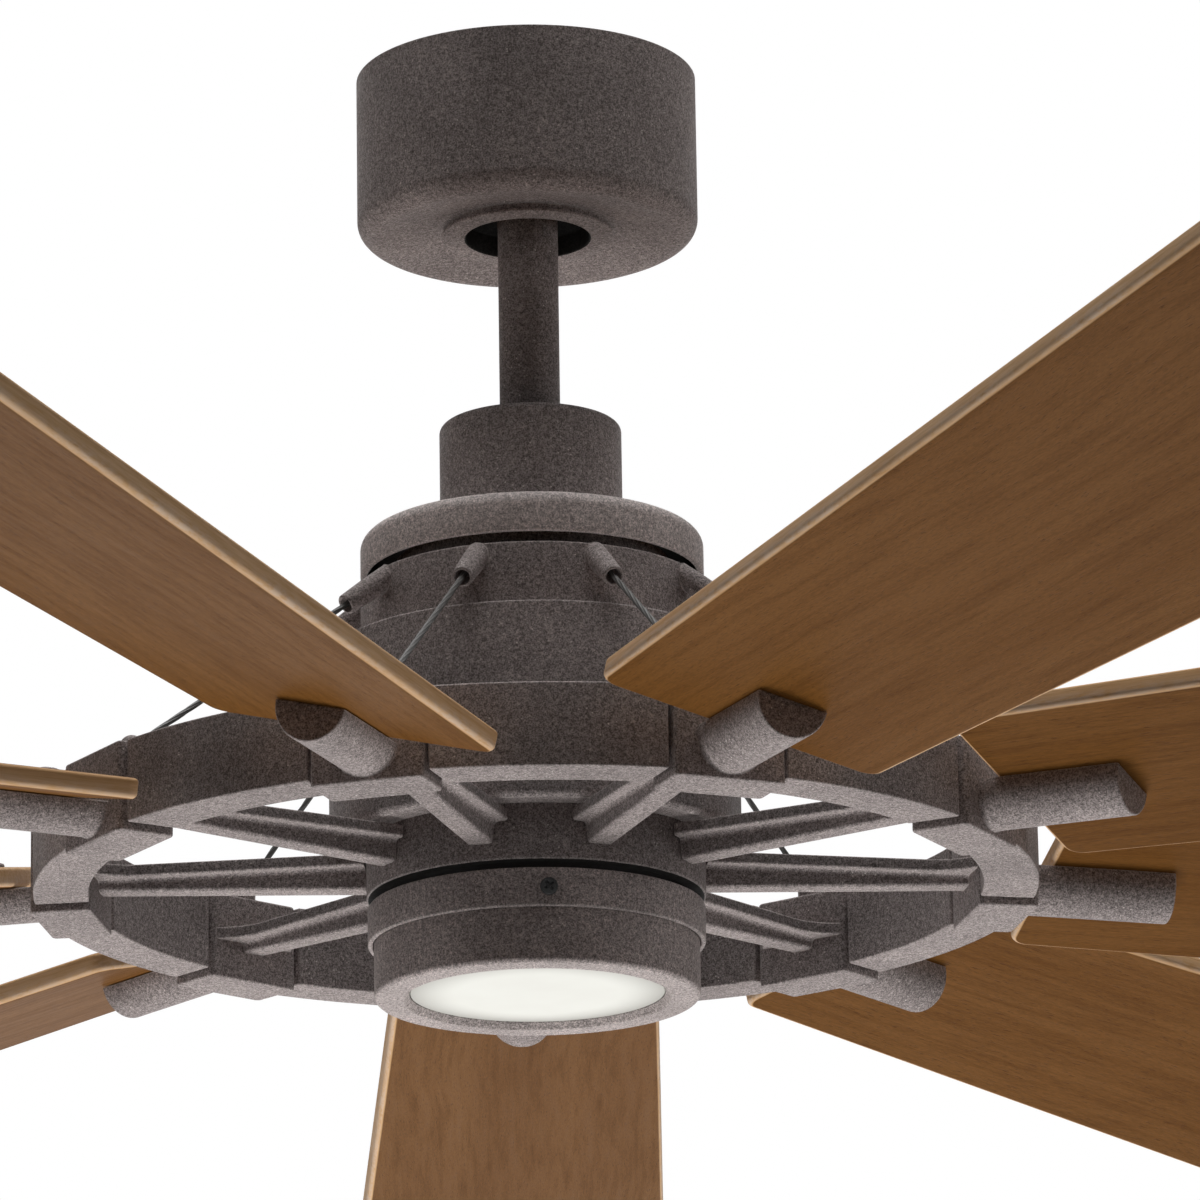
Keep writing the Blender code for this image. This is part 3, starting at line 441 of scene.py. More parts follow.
def edge_wear_group():
    """A mask of worn edges: where the normal rounded over 1 mm leaves the true normal, times a noise that
    breaks it up, times the amount."""
    tree, given, result = new_group(
        "edge_wear",
        {
            "Vector": "NodeSocketVector",
            "Amount": "NodeSocketFloat",
        },
        {"Mask": "NodeSocketFloat"},
    )
    soft = add_node(tree, "ShaderNodeBevel", {"Radius": 0.001}, samples=4).outputs[0]
    true = tree.nodes.new("ShaderNodeNewGeometry").outputs["Normal"]
    likeness = add_node(tree, "ShaderNodeVectorMath", {0: soft, 1: true}, operation="DOT_PRODUCT")
    bare = remap(tree, likeness.outputs["Value"], 0.985, 0.86)
    patchy = noise(tree, given["Vector"], 220.0, 4.0)
    worn = product(tree, bare, remap(tree, patchy, 0.36, 0.62))
    tree.links.new(maths(tree, "MULTIPLY", worn, given["Amount"], clamp=True), result["Mask"])
    return tree


def wood_grain_group():
    """Walnut: long drifting bands go from its middle tone to its light one, streaks along X and short pores
    go to its dark one, and fine fibres multiply it. The height is the fibres less the pores."""
    tree, given, result = new_group(
        "wood_grain",
        {"Vector": "NodeSocketVector"},
        {"Color": "NodeSocketColor", "Roughness": "NodeSocketFloat", "Height": "NodeSocketFloat"},
    )
    dark, middle, light = (0.068, 0.024, 0.005), (0.138, 0.056, 0.011), (0.173, 0.076, 0.02)
    vector = given["Vector"]
    drift = noise(tree, scaled(tree, vector, (2.2, 2.2, 2.2)), 1.0, 2.0)
    wander = add_node(tree, "ShaderNodeCombineXYZ", {"Y": product(tree, drift, 0.03)}).outputs[0]
    bent = add_node(tree, "ShaderNodeVectorMath", {0: vector, 1: wander}, operation="ADD").outputs[0]
    bands = noise(tree, scaled(tree, bent, (1.3, 26.0, 26.0)), 1.0, 3.0, 0.5, 0.1)
    streaks = noise(tree, scaled(tree, bent, (13.0, 210.0, 210.0)), 1.0, 5.0, 0.7)
    fibres = noise(tree, scaled(tree, bent, (210.0, 1500.0, 1500.0)), 1.0, 3.0, 0.7)
    pores = noise(tree, scaled(tree, bent, (150.0, 1500.0, 1500.0)), 1.0, 1.0, 0.5)
    warm = mixed(tree, remap(tree, bands, 0.32, 0.68), middle, light)
    tone = mixed(tree, remap(tree, streaks, 0.46, 0.72, 0.0, 0.5), warm, dark)
    tone = shaded(tree, tone, remap(tree, fibres, 0.3, 0.7, 0.8, 1.2))
    pit = remap(tree, pores, 0.63, 0.72)
    tree.links.new(mixed(tree, product(tree, pit, 0.6), tone, dark), result["Color"])
    tree.links.new(remap(tree, streaks, 0.3, 0.7, 0.4, 0.5), result["Roughness"])
    relief = maths(tree, "SUBTRACT", product(tree, fibres, 0.5), product(tree, pit, 0.8))
    tree.links.new(relief, result["Height"])
    return tree


def brushed_group():
    """Fine scratches round Z, from a noise that is stretched along the level, and a tarnish in patches."""
    tree, given, result = new_group(
        "brushed",
        {"Vector": "NodeSocketVector"},
        {"Scratch": "NodeSocketFloat", "Tarnish": "NodeSocketFloat"},
    )
    squeezed = scaled(tree, given["Vector"], (0.06, 0.06, 1.0))
    tree.links.new(noise(tree, squeezed, 2400.0, 3.0), result["Scratch"])
    tree.links.new(remap(tree, noise(tree, given["Vector"], 45.0, 5.0, 0.6), 0.4, 0.7), result["Tarnish"])
    return tree


sand_cast = sand_cast_group()
edge_wear = edge_wear_group()
wood_grain = wood_grain_group()
brushed = brushed_group()


def group_node(tree, group, values):
    """The outputs of a node group that is given these values."""
    return add_node(tree, "ShaderNodeGroup", values, node_tree=group).outputs


def new_material(name, metallic=0.0, **sockets):
    """A material, its node tree and its shader. Sockets with one value all over are set here."""
    made = bpy.data.materials.new(name)
    made.use_nodes = True
    tree = made.node_tree
    shader = tree.nodes["Principled BSDF"].inputs
    shader["Metallic"].default_value = metallic
    for socket, value in sockets.items():
        shader[socket.replace("_", " ")].default_value = value
    return made, tree, shader


def object_place(tree):
    """The place on the piece, in metres, in the piece's own frame."""
    return tree.nodes.new("ShaderNodeTexCoord").outputs["Object"]


def bumped(tree, shader, height, distance, strength):
    """The shader's normal tilted by the slope of a height, which is worth a distance in metres."""
    values = {"Height": height, "Distance": distance, "Strength": strength}
    tree.links.new(add_node(tree, "ShaderNodeBump", values).outputs[0], shader["Normal"])


def cast_finish(name, tones, share, wear_amount, level=0.05):
    """Sand-cast metal under a weathered coat, worn paler and smoother on its edges."""
    made, tree, shader = new_material(name, Specular_IOR_Level=level)
    place = object_place(tree)
    values = {socket: (*tones[socket.lower()], 1) for socket in ("Base", "Grit", "Speck")}
    cast = group_node(tree, sand_cast, {"Vector": place, "Speck Share": share, **values})
    wear = group_node(tree, edge_wear, {"Vector": place, "Amount": wear_amount})["Mask"]
    tree.links.new(mixed(tree, wear, cast["Color"], tones["worn"]), shader["Base Color"])
    rough = maths(tree, "SUBTRACT", cast["Roughness"], product(tree, wear, 0.12))
    tree.links.new(rough, shader["Roughness"])
    bumped(tree, shader, cast["Height"], 0.0004, 0.45)
    return made


def walnut_finish():
    """Oiled walnut whose grain follows each board's own place. The board's edge value mixes in a golden
    tone, partly worn wood and partly a painted highlight, and where it is highest, along the lower arris,
    pale flakes that two noises break up."""
    made, tree, shader = new_material("walnut", Specular_IOR_Level=0.02)
    place = add_node(tree, "ShaderNodeAttribute", attribute_name="board").outputs["Vector"]
    edge = add_node(tree, "ShaderNodeAttribute", attribute_name="edge").outputs["Fac"]
    grain = group_node(tree, wood_grain, {"Vector": place})
    streaks = noise(tree, scaled(tree, place, (22.0, 260.0, 900.0)), 1.0, 4.0, 0.7)
    # The golden edge tone is partly wear and partly a painted highlight on the rounded edges.
    gold_wear_and_highlight = mixed(tree, remap(tree, streaks, 0.3, 0.7), (0.68, 0.38, 0.16), (0.94, 0.63, 0.37))
    tone = mixed(tree, remap(tree, edge, 0.1, 0.45, 0.0, 0.8), grain["Color"], gold_wear_and_highlight)
    chips = noise(tree, scaled(tree, place, (110.0, 500.0, 500.0)), 1.0, 4.0, 0.7)
    stretches = noise(tree, scaled(tree, place, (9.0, 20.0, 20.0)), 1.0, 3.0, 0.6)
    flaked = product(tree, remap(tree, chips, 0.34, 0.56), remap(tree, stretches, 0.36, 0.56, 0.35, 1.0))
    flaked = product(tree, flaked, remap(tree, edge, 0.55, 0.85))
    tree.links.new(mixed(tree, flaked, tone, (0.72, 0.53, 0.38)), shader["Base Color"])
    tree.links.new(grain["Roughness"], shader["Roughness"])
    bumped(tree, shader, grain["Height"], 0.0003, 0.3)
    return made


def steel_finish(name, colour, stain, rough, metallic=1.0):
    """Drawn or turned steel with scratches round its axis and a stain in patches. The scratches make it
    from 0.08 smoother to 0.1 rougher than asked."""
    made, tree, shader = new_material(name, metallic)
    place = object_place(tree)
    marks = group_node(tree, brushed, {"Vector": place})
    tint = mixed(tree, product(tree, marks["Tarnish"], 0.6), colour, stain)
    tree.links.new(tint, shader["Base Color"])
    tree.links.new(remap(tree, marks["Scratch"], 0.3, 0.7, rough - 0.08, rough + 0.1), shader["Roughness"])
    bumped(tree, shader, marks["Scratch"], 0.0001, 0.25)
    return made


def lens_finish():
    """Frosted opal plastic: nearly white, with a faint mottle and a fine matt grain. Painted shade darkens
    it from a radius of 34 mm to its edge, by the share of the way there to the power 1.5."""
    made, tree, shader = new_material("opal", Specular_IOR_Level=0.25)
    place = object_place(tree)
    mottle = noise(tree, place, 35.0, 3.0)
    tint = mixed(tree, remap(tree, mottle, 0.3, 0.7), (0.95, 0.945, 0.88), (0.92, 0.91, 0.845))
    flat = add_node(tree, "ShaderNodeVectorMath", {0: place, 1: (1.0, 1.0, 0.0)}, operation="MULTIPLY")
    radius = add_node(tree, "ShaderNodeVectorMath", {0: flat.outputs[0]}, operation="LENGTH").outputs["Value"]
    # Painted shade towards the lens's edge, at most 62% of the way to a dark brown-grey.
    painted_edge_shade = maths(tree, "POWER", remap(tree, radius, 0.034, 0.0525), 1.5)
    tint = mixed(tree, product(tree, painted_edge_shade, 0.62), tint, (0.22, 0.205, 0.18))
    tree.links.new(tint, shader["Base Color"])
    grain = noise(tree, place, 2500.0, 2.0)
    tree.links.new(remap(tree, grain, 0.3, 0.7, 0.42, 0.55), shader["Roughness"])
    bumped(tree, shader, grain, 0.00008, 0.3)
    return made


def winding_finish():
    """Enamelled copper wire in layers: a wave along the level, tinted by a noise."""
    made, tree, shader = new_material("copper_winding", 0.85)
    place = object_place(tree)
    values = {"Vector": place, "Scale": 420.0, "Distortion": 0.6}
    wave = add_node(tree, "ShaderNodeTexWave", values, bands_direction="Z").outputs["Fac"]
    stained = remap(tree, noise(tree, place, 80.0, 4.0), 0.35, 0.65)
    tone = mixed(tree, stained, (0.62, 0.25, 0.1), (0.42, 0.16, 0.07))
    tree.links.new(mixed(tree, wave, (0.16, 0.06, 0.03), tone), shader["Base Color"])
    tree.links.new(remap(tree, wave, 0.0, 1.0, 0.5, 0.3), shader["Roughness"])
    bumped(tree, shader, wave, 0.0004, 0.6)
    return made


zinc_tones = {
    "base": (0.47, 0.406, 0.392),
    "grit": (0.145, 0.125, 0.119),
    "speck": (0.9, 0.84, 0.8),
    "worn": (0.72, 0.65, 0.62),
}
zinc = cast_finish("weathered_zinc", zinc_tones, share=0.06, wear_amount=0.75)
# Paler copies of the zinc paint in more light than the lamps give: a little for the canopy, cover and drum,
# more for the light's pan and body, most for the motor's top.
painted_lit_tones = {**zinc_tones, "base": (0.5, 0.435, 0.42), "grit": (0.165, 0.142, 0.135)}
zinc_painted_lit = cast_finish("zinc_sheet", painted_lit_tones, share=0.06, wear_amount=0.75)
painted_brighter_tones = {**zinc_tones, "base": (0.62, 0.54, 0.52), "grit": (0.21, 0.182, 0.173)}
zinc_painted_brighter = cast_finish("zinc_with_brighter_painted_light", painted_brighter_tones, share=0.05, wear_amount=0.6)
painted_brightest_tones = {**zinc_tones, "base": (0.8, 0.71, 0.685), "grit": (0.34, 0.297, 0.284)}
zinc_painted_brightest = cast_finish("zinc_painted_brightest", painted_brightest_tones, share=0.03, wear_amount=0.5)
# Painted shade: a near-black finish for faces inside the cup and in the gaps, where the shadow should be.
painted_shade_tones = {
    "base": (0.022, 0.02, 0.019),
    "grit": (0.012, 0.011, 0.01),
    "speck": (0.03, 0.03, 0.03),
    "worn": (0.03, 0.03, 0.03),
}
painted_shade = cast_finish("painted_shade_black", painted_shade_tones, share=0.01, wear_amount=0.2)
black_tones = {
    "base": (0.014, 0.014, 0.014),
    "grit": (0.008, 0.008, 0.008),
    "speck": (0.04, 0.04, 0.04),
    "worn": (0.1, 0.1, 0.1),
}
black = cast_finish("black_casting", black_tones, share=0.01, wear_amount=0.6, level=0.35)
walnut = walnut_finish()
plated = steel_finish("zinc_plated_steel", (0.42, 0.41, 0.385), (0.3, 0.285, 0.245), 0.42)
ground = steel_finish("ground_steel", (0.56, 0.56, 0.57), (0.4, 0.39, 0.38), 0.24)
stay_wire = steel_finish("stay_wire", (0.05, 0.046, 0.042), (0.025, 0.022, 0.02), 0.45, 0.0)
sheet_metal = steel_finish("spun_sheet", (0.72, 0.72, 0.72), (0.6, 0.6, 0.6), 0.45)
opal = lens_finish()
copper = winding_finish()


# Pieces


def new_piece(name, part, material, body, node, crease=38, board=None, edge=None, painted_shade_rule=None):
    """A mesh object from a shell, closed at its poles, smooth between its creases, riding on a body in the
    place of a CAD node.

    A board's points carry their place in the plank and how far they are on its edge. A painted-shade rule is
    given each face's radius, level, and outward and upward parts of its normal. The faces that it picks get
    painted shade, a near-black finish that stands for the shadow there.
    """
    points, faces = part
    mesh = bpy.data.meshes.new(name)
    mesh.vertices.add(len(points))
    mesh.vertices.foreach_set("co", (points * MM).astype(np.float32).ravel())
    mesh.loops.add(4 * len(faces))
    mesh.loops.foreach_set("vertex_index", faces.astype(np.int32).ravel())
    mesh.polygons.add(len(faces))
    mesh.polygons.foreach_set("loop_start", np.arange(0, 4 * len(faces), 4, dtype=np.int32))
    mesh.update(calc_edges=True)
    if board is not None:
        place = mesh.attributes.new("board", "FLOAT_VECTOR", "POINT")
        place.data.foreach_set("vector", (board * MM).astype(np.float32).ravel())
        worn = mesh.attributes.new("edge", "FLOAT", "POINT")
        worn.data.foreach_set("value", edge.astype(np.float32))
    mesh.validate()
    made = bmesh.new()
    made.from_mesh(mesh)
    bmesh.ops.remove_doubles(made, verts=made.verts, dist=WELD * MM)
    bmesh.ops.dissolve_degenerate(made, edges=made.edges, dist=SLIVER * MM)
    bmesh.ops.recalc_face_normals(made, faces=made.faces)
    made.to_mesh(mesh)
    made.free()
    mesh.shade_smooth()
    mesh.set_sharp_from_angle(angle=math.radians(crease))
    mesh.materials.append(material)
    # Faces that the rule picks get the painted shade.
    if painted_shade_rule is not None:
        mesh.materials.append(painted_shade)
        count = len(mesh.polygons)
        centre, normal = np.empty(3 * count), np.empty(3 * count)
        mesh.polygons.foreach_get("center", centre)
        mesh.polygons.foreach_get("normal", normal)
        centre, normal = centre.reshape(-1, 3) / MM, normal.reshape(-1, 3)
        radius = np.linalg.norm(centre[:, :2], axis=1)
        outward = (centre[:, :2] * normal[:, :2]).sum(1) / radius
        picked = painted_shade_rule(radius, centre[:, 2], outward, normal[:, 2])
        mesh.polygons.foreach_set("material_index", picked.astype(np.int32))
    piece = bpy.data.objects.new(name, mesh)
    bpy.context.scene.collection.objects.link(piece)
    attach(piece, body)
    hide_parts(node)


# Canopy and rod

canopy_outline = rounded(
    [
        (CANOPY, 0),
        (CANOPY, CANOPY_BOTTOM, 7.6),
        (62, CANOPY_BOTTOM, 14),
        (38.5, CANOPY_DISH, 3),
        (CANOPY_HOLE, CANOPY_DISH),
        (CANOPY_HOLE, -63.8),
        (38.2, -63.8, 3),
        (61.8, CANOPY_BOTTOM + CANOPY_WALL, 14),
        (CANOPY_BORE, CANOPY_BOTTOM + CANOPY_WALL, 6),
        (CANOPY_BORE, 0),
    ],
    steps=10,
)


def inside_cup(radius, level, outward, up):
    """The faces that look at the axis, and those that look up from the bottom: painted shade, near black as
    the shadow within the cup.
    """
    return (outward < -0.3) | ((up > 0.6) & (radius < CANOPY_BORE))


canopy_shell = turned(canopy_outline, 200)
new_piece("canopy_cup", canopy_shell, zinc_painted_lit, "mounting", "canopy", painted_shade_rule=inside_cup)

# The ring's lip stands clear of the canopy, so that a dark gap shows between them.
trim_outline = rounded(
    [
        (34.4, TRIM_LAND),
        (34.4, -67.9),
        (TRIM, -68.3, 0.4),
        (TRIM, TRIM_BOTTOM, 0.7),
        (TRIM_HOLE, TRIM_BOTTOM, 0.8),
        (TRIM_HOLE, TRIM_TOP),
        (27.7, TRIM_TOP),
        (27.7, -68.9),
        (33.1, -68.9),
        (33.1, TRIM_LAND),
    ]
)
stud_outline = rounded(
    [(0, TRIM_STUD_TOP), (2, TRIM_STUD_TOP, 0.5), (2, TRIM_STUD_BOTTOM), (0, TRIM_STUD_BOTTOM)], closed=False
)
stud = turned(stud_outline, 32)
studs = [moved(stud, shift(side * TRIM_STUD_PLACE, 0, 0)) for side in (-1, 1)]
trim = together(turned(trim_outline), *studs)
new_piece("canopy_ring", trim, zinc_painted_lit, "mounting", "canopy_trim_ring", painted_shade_rule=inside_cup)

rod_outline = rounded(
    [(ROD, ROD_TOP, 0.6), (ROD, ROD_BOTTOM, 0.6), (ROD_BORE, ROD_BOTTOM, 0.4), (ROD_BORE, ROD_TOP, 0.4)]
)
new_piece("down_tube", turned(rod_outline, 96), zinc, "hanger", "downrod")

cover_outline = rounded(
    [
        (COVER_HOLE, COVER_TOP, 0.4),
        (COVER, COVER_TOP, 3),
        (COVER, COVER_BOTTOM, 0.5),
        (COVER_BORE, COVER_BOTTOM, 0.5),
        (COVER_BORE, COVER_TOP - COVER_WALL, 1.5),
        (COVER_HOLE, COVER_TOP - COVER_WALL),
    ]
)
new_piece("sliding_cover", turned(cover_outline), zinc_painted_lit, "cover", "coupling_cover")

# Motor

cap_outline = rounded(
    [
        (SHAFT_HOLE, CAP_TOP),
        (CAP, CAP_TOP, 6.2),
        (CAP, CAP_BOTTOM, 0.9),
        (CAP_BORE, CAP_BOTTOM, 0.6),
        (CAP_BORE, CAP_TOP - CAP_WALL, 3),
        (16, CAP_TOP - CAP_WALL, 1),
        (16, CAP_TOP - CAP_BOSS, 0.5),
        (SHAFT_HOLE, CAP_TOP - CAP_BOSS),
    ],
    steps=8,
)


def inside_cap(radius, level, outward, up):
    """The faces within the skirt and under the top that don't look up: painted shade, near black as the
    shadow in the gap under the cap.
    """
    return (radius < CAP_BORE + 0.5) & (level < CAP_TOP - 2) & (up < 0.5)


cap_shell = turned(cap_outline, 200)
new_piece("motor_top", cap_shell, zinc_painted_brightest, "hanger", "motor_cap", painted_shade_rule=inside_cap)


def stay_slope():
    """Along the stay's line outwards and down: the angle that turns Z onto it, atan2(run, -fall), and its
    length, the root of run squared and fall squared."""
    run = BOSS - BAND
    fall = STAY_ROOT_LEVEL - BOSS_LEVEL
    return math.atan2(run, -fall), math.hypot(run, fall)


def on_stay(part):
    """A shell on the Z axis laid along the stay, from the band's side outwards."""
    angle, _ = stay_slope()
    return moved(part, shift(BAND, 0, STAY_ROOT_LEVEL) @ turn("Y", angle))


def at_arm(part, index, extra=0.0):
    """A shell turned about Z from its own frame to an arm's azimuth, or a share of a pitch beyond it."""
    return moved(part, turn("Z", FIRST_ARM + 2 * math.pi * (index + extra) / BLADES))


band_outline = rounded(
    [
        (NECK, NECK_TOP, 0.5),
        (NECK, BAND_TOP, 1),
        (BAND, BAND_TOP, 1.1),
        (BAND, BAND_BOTTOM, 0.5),
        (BAND_BORE, BAND_BOTTOM, 0.5),
        (BAND_BORE, BAND_WEB_BOTTOM),
        (BEARING_SEAT, BAND_WEB_BOTTOM),
        (BEARING_SEAT, BAND_SEAT_BOTTOM),
        (BEARING_HOLE, BAND_SEAT_BOTTOM),
        (BEARING_HOLE, -226.1),
        (NECK_BORE, -226.1),
        (NECK_BORE, NECK_TOP, 0.5),
    ]
)
# The tube tapers a little to its mouth, which is rounded over and bored.
tube_outline = rounded(
    [
        (0, -3.6),
        (5.0, -3.6),
        (4.9, 9, 4),
        (4.3, TUBE_LENGTH, 0.7),
        (3.2, TUBE_LENGTH, 0.4),
        (3.1, TUBE_LENGTH - TUBE_BORE_DEPTH),
        (0, TUBE_LENGTH - TUBE_BORE_DEPTH),
    ],
    closed=False,
)
stay_tube = on_stay(turned(tube_outline, 64))
band_parts = [turned(band_outline, 240)] + [at_arm(stay_tube, number) for number in range(BLADES)]
new_piece("stay_band", together(*band_parts), zinc, "rotor", "stay_collar")

drum_outline = rounded(
    [
        (DRUM_HOLE, DRUM_TOP),
        (DRUM, DRUM_TOP, 1.0),
        (DRUM, DRUM_BOTTOM, 3.2),
        (DRUM_BORE - 0.1, DRUM_BOTTOM, 0.3),
        (DRUM_BORE, DRUM_BOTTOM + 4),
        (DRUM_BORE, DRUM_TOP - DRUM_WALL),
        (DRUM_HOLE, DRUM_TOP - DRUM_WALL),
    ],
    steps=8,
)
new_piece("drum_shell", turned(drum_outline, 240), zinc_painted_lit, "rotor", "motor_drum")

floor_outline = rounded(
    [
        (FLOOR_OUTER, FLOOR_TOP),
        (FLOOR_OUTER, FLOOR_BOTTOM, 0.4),
        (FLOOR_STEP, FLOOR_BOTTOM, 0.4),
        (FLOOR_STEP, FLOOR_LAND),
        (HUB_BORE, FLOOR_LAND),
        (HUB_BORE, FLOOR_TOP),
    ]
)
new_piece("drum_floor", turned(floor_outline, 200), zinc, "rotor", "rotor_floor")

hub_outline = rounded(
    [
        (HUB, HUB_TOP, 0.5),
        (HUB, HUB_BOTTOM, 0.9),
        (HUB_SKIRT, HUB_BOTTOM, 0.6),
        (HUB_SKIRT, HUB_WEB_BOTTOM),
        (BEARING_SEAT, HUB_WEB_BOTTOM),
        (BEARING_SEAT, HUB_SEAT_BOTTOM),
        (BEARING_HOLE, HUB_SEAT_BOTTOM),
        (BEARING_HOLE, HUB_SEAT_TOP),
        (BEARING_SEAT, HUB_SEAT_TOP),
        (BEARING_SEAT, HUB_WEB_TOP),
        (HUB_BORE, HUB_WEB_TOP),
        (HUB_BORE, HUB_TOP, 0.8),
    ]
)


def under_hub(radius, level, outward, up):
    """All faces within the outer wall that don't look up: painted shade, near black as the shadow in the gap
    over the light.
    """
    return (radius < HUB - 0.7) & (up < 0.5)


hub_shell = turned(hub_outline, 200)
new_piece("hub_ring", hub_shell, zinc, "rotor", "spoke_hub", painted_shade_rule=under_hub)

# Light

pan_outline = rounded(
    [
        (SHAFT_HOLE, PAN_TOP),
        (PAN, PAN_TOP, 1.2),
        (PAN, PAN_BOTTOM, 1.0),
        (PAN_BORE, PAN_BOTTOM, 0.5),
        (PAN_BORE, PAN_TOP - PAN_WALL),
        (PAN_BOSS, PAN_TOP - PAN_WALL),
        (PAN_BOSS, PAN_TOP - PAN_BOSS_WALL),
        (SHAFT_HOLE, PAN_TOP - PAN_BOSS_WALL),
    ]
)
new_piece("light_top", turned(pan_outline, 200), zinc_painted_brighter, "hanger", "light_pan")

housing_outline = rounded(
    [
        (HOUSING, HOUSING_TOP, 0.4),
        (HOUSING, HOUSING_BOTTOM, 2.4),
        (55.2, HOUSING_BOTTOM, 0.6),
        (52.6, LENS_LEVEL - 1.2, 0.3),
        (54.4, LENS_LEVEL - 0.1),
        (HOUSING_BORE, LENS_LEVEL - 0.1),
        (HOUSING_BORE, HOUSING_TOP, 0.4),
    ],
    steps=8,
)
new_piece("light_body", turned(housing_outline, 200), zinc_painted_brighter, "hanger", "light_housing")

# The crown follows a circle's arc, so its fall goes with the square of the radius.
crown = np.linspace(LENS_CROWN, 0, 40)
crown_level = LENS_LEVEL - 1.3 - 1.2 * (1 - (crown / LENS_CROWN) ** 2)
flange = [(0, 2), (LENS, 2), (LENS, 0.1), (LENS_CROWN + 0.1, 0.1)]
lens_outline = np.concatenate([np.array(flange) + (0, LENS_LEVEL), np.column_stack([crown, crown_level])])
new_piece("lens_disc", turned(lens_outline, 160), opal, "hanger", "lens")


def side_screw():
    """The light's screw: its head and shank on Z, laid outwards at its azimuth and level."""
    shank = turned(np.array([(0, 0.2), (2, 0.2), (2, -4.6), (0, -4.6)]), 24)
    head = screw_head(radius=3.6, height=2.0, recess=1.1, half_width=0.55, reach=2.1)
    seat = shift(PAN + 0.3, 0, SCREW_LEVEL)
    place = turn("Z", SCREW_AZIMUTH - math.pi / 2) @ seat @ turn("Y", math.pi / 2)
    return moved(together(head, shank), place @ turn("Z", math.radians(38)))


new_piece("light_fixing", side_screw(), black, "hanger", "light_screw")

# Arms

blade_seat = shift(BLOCK_FACE, 0, TONGUE_LEVEL) @ turn("Y", DROOP) @ turn("X", -PITCH)


def tongue():
    """The half-round tongue: flat on top, half an ellipse below, carried along X.

    Near the block it swells by a quarter circle, and at its tip the last of it is rounded over.
    """
    swell = 1.6
    tip = 0.9
    tip_start = TONGUE_LENGTH - tip
    root = swell * (1 - np.cos(np.linspace(0, math.pi / 2, 9)))
    end = tip_start + tip * np.sin(np.linspace(0, math.pi / 2, 7))
    places = np.concatenate([[-12], root, np.linspace(swell + 3, tip_start - 1, 10), end])
    sweep = np.linspace(0, math.pi, 41)
    sections = []
    for x in places:
        grow = 0.0
        if x < swell:
            grow = swell - math.sqrt(swell**2 - (swell - max(x, 0.0)) ** 2)
        if x > tip_start:
            grow = math.sqrt(max(tip**2 - (x - TONGUE_LENGTH + tip) ** 2, 0)) - tip
        half, depth = TONGUE_HALF + grow, TONGUE_DEPTH + grow
        lower = np.column_stack([-half * np.cos(sweep), -depth * np.sin(sweep)])
        upper = np.column_stack([np.linspace(half, -half, 15)[1:-1], np.full(13, min(grow, 0.0))])
        outline = np.concatenate([lower, upper])
        # The two arrises between flat and round are eased a little.
        outline[[0, 40], 1] = -0.35
        sections.append(along_x(outline, x))
    return capped(np.array(sections))


def spoke():
    """The spoke from the hub to the block: a flat flange over a deep rib, as one rounded T carried
    along X. The flange widens by the square of the way along its last 18 mm, and the rib gets shallower
    evenly. The first section is drawn in, to round the end at the hub."""
    root, plain = [HUB + 0.3, HUB + 0.9], np.linspace(HUB + 4, 160, 8)
    places = np.concatenate([root, plain, np.linspace(163, BLOCK_BACK + 3, 16)])
    sections = []
    for x in places:
        near = np.clip((x - SPOKE_SPREAD_START) / (BLOCK_BACK - SPOKE_SPREAD_START), 0, 1)
        half = SPOKE_HALF + SPOKE_SPREAD * near**2
        rib = np.interp(x, [HUB, BLOCK_BACK], [SPOKE_RIB_AT_HUB, SPOKE_RIB_AT_BLOCK])
        if x == places[0]:
            half, rib = half - 0.6, rib - 0.6
        corners = [
            (-half, 0, 0.8),
            (-half, -5, 1.2),
            (-6.0, -4.8, 2.2),
            (-5.4, -rib, 1.7),
            (5.4, -rib, 1.7),
            (6.0, -4.8, 2.2),
            (half, -5, 1.2),
            (half, 0, 0.8),
        ]
        sections.append(along_x(rounded(corners) + (0, SPOKE_TOP), x))
    return capped(np.array(sections))


def arm():
    """One casting and its two blade screws, in the arm's frame. The block's edges are quarter circles, 1 mm
    below and 1.2 mm above, and the cable's boss is half a ball on a flared foot."""
    plan = [
        (BLOCK_BACK, -BLOCK_HALF, 2.4),
        (BLOCK_FACE, -BLOCK_HALF, 2.6),
        (BLOCK_FACE, BLOCK_HALF, 2.6),
        (BLOCK_BACK, BLOCK_HALF, 2.4),
    ]
    quarter = np.linspace(0, math.pi / 2, 5)
    lower = np.column_stack([1 - np.sin(quarter), BLOCK_BOTTOM + (1 - np.cos(quarter))])
    upper = np.column_stack([1.2 * (1 - np.cos(quarter)), RIM_TOP - 1.2 * (1 - np.sin(quarter))])
    block = edged(rounded(plan), np.concatenate([lower, upper]))
    sweep = np.linspace(0, math.pi / 2, 12)
    dome = np.column_stack([BOSS_HALF * np.sin(sweep), BOSS_HALF * np.cos(sweep)])
    flare = [(BOSS_HALF, 0), (BOSS_HALF, -BOSS_HEIGHT, 1.2), (7, -BOSS_HEIGHT - 1), (0, -BOSS_HEIGHT - 1)]
    boss_outline = np.concatenate([dome, rounded(flare, closed=False)[1:]])
    boss = moved(turned(boss_outline, 48), shift(BOSS, 0, BOSS_LEVEL))
    head = screw_head(radius=5, height=2.4, recess=1.3, half_width=0.8, reach=2.9)
    head = moved(head, shift(0, 0, SCREW_SEAT))
    shank = turned(np.array([(0, SCREW_SEAT + 0.2), (2.5, SCREW_SEAT + 0.2), (2.5, -4), (0, -4)]), 24)
    screws = [moved(together(head, shank), shift(place, 0, 0)) for place in SCREW_PLACES]
    seated = [moved(part, blade_seat) for part in (tongue(), *screws)]
    return together(block, spoke(), boss, *seated)


arm_shell = arm()
for number in range(BLADES):
    name, node = f"arm_casting_{number + 1}", f"blade_arm_{number + 1}"
    new_piece(name, at_arm(arm_shell, number), zinc, "rotor", node)


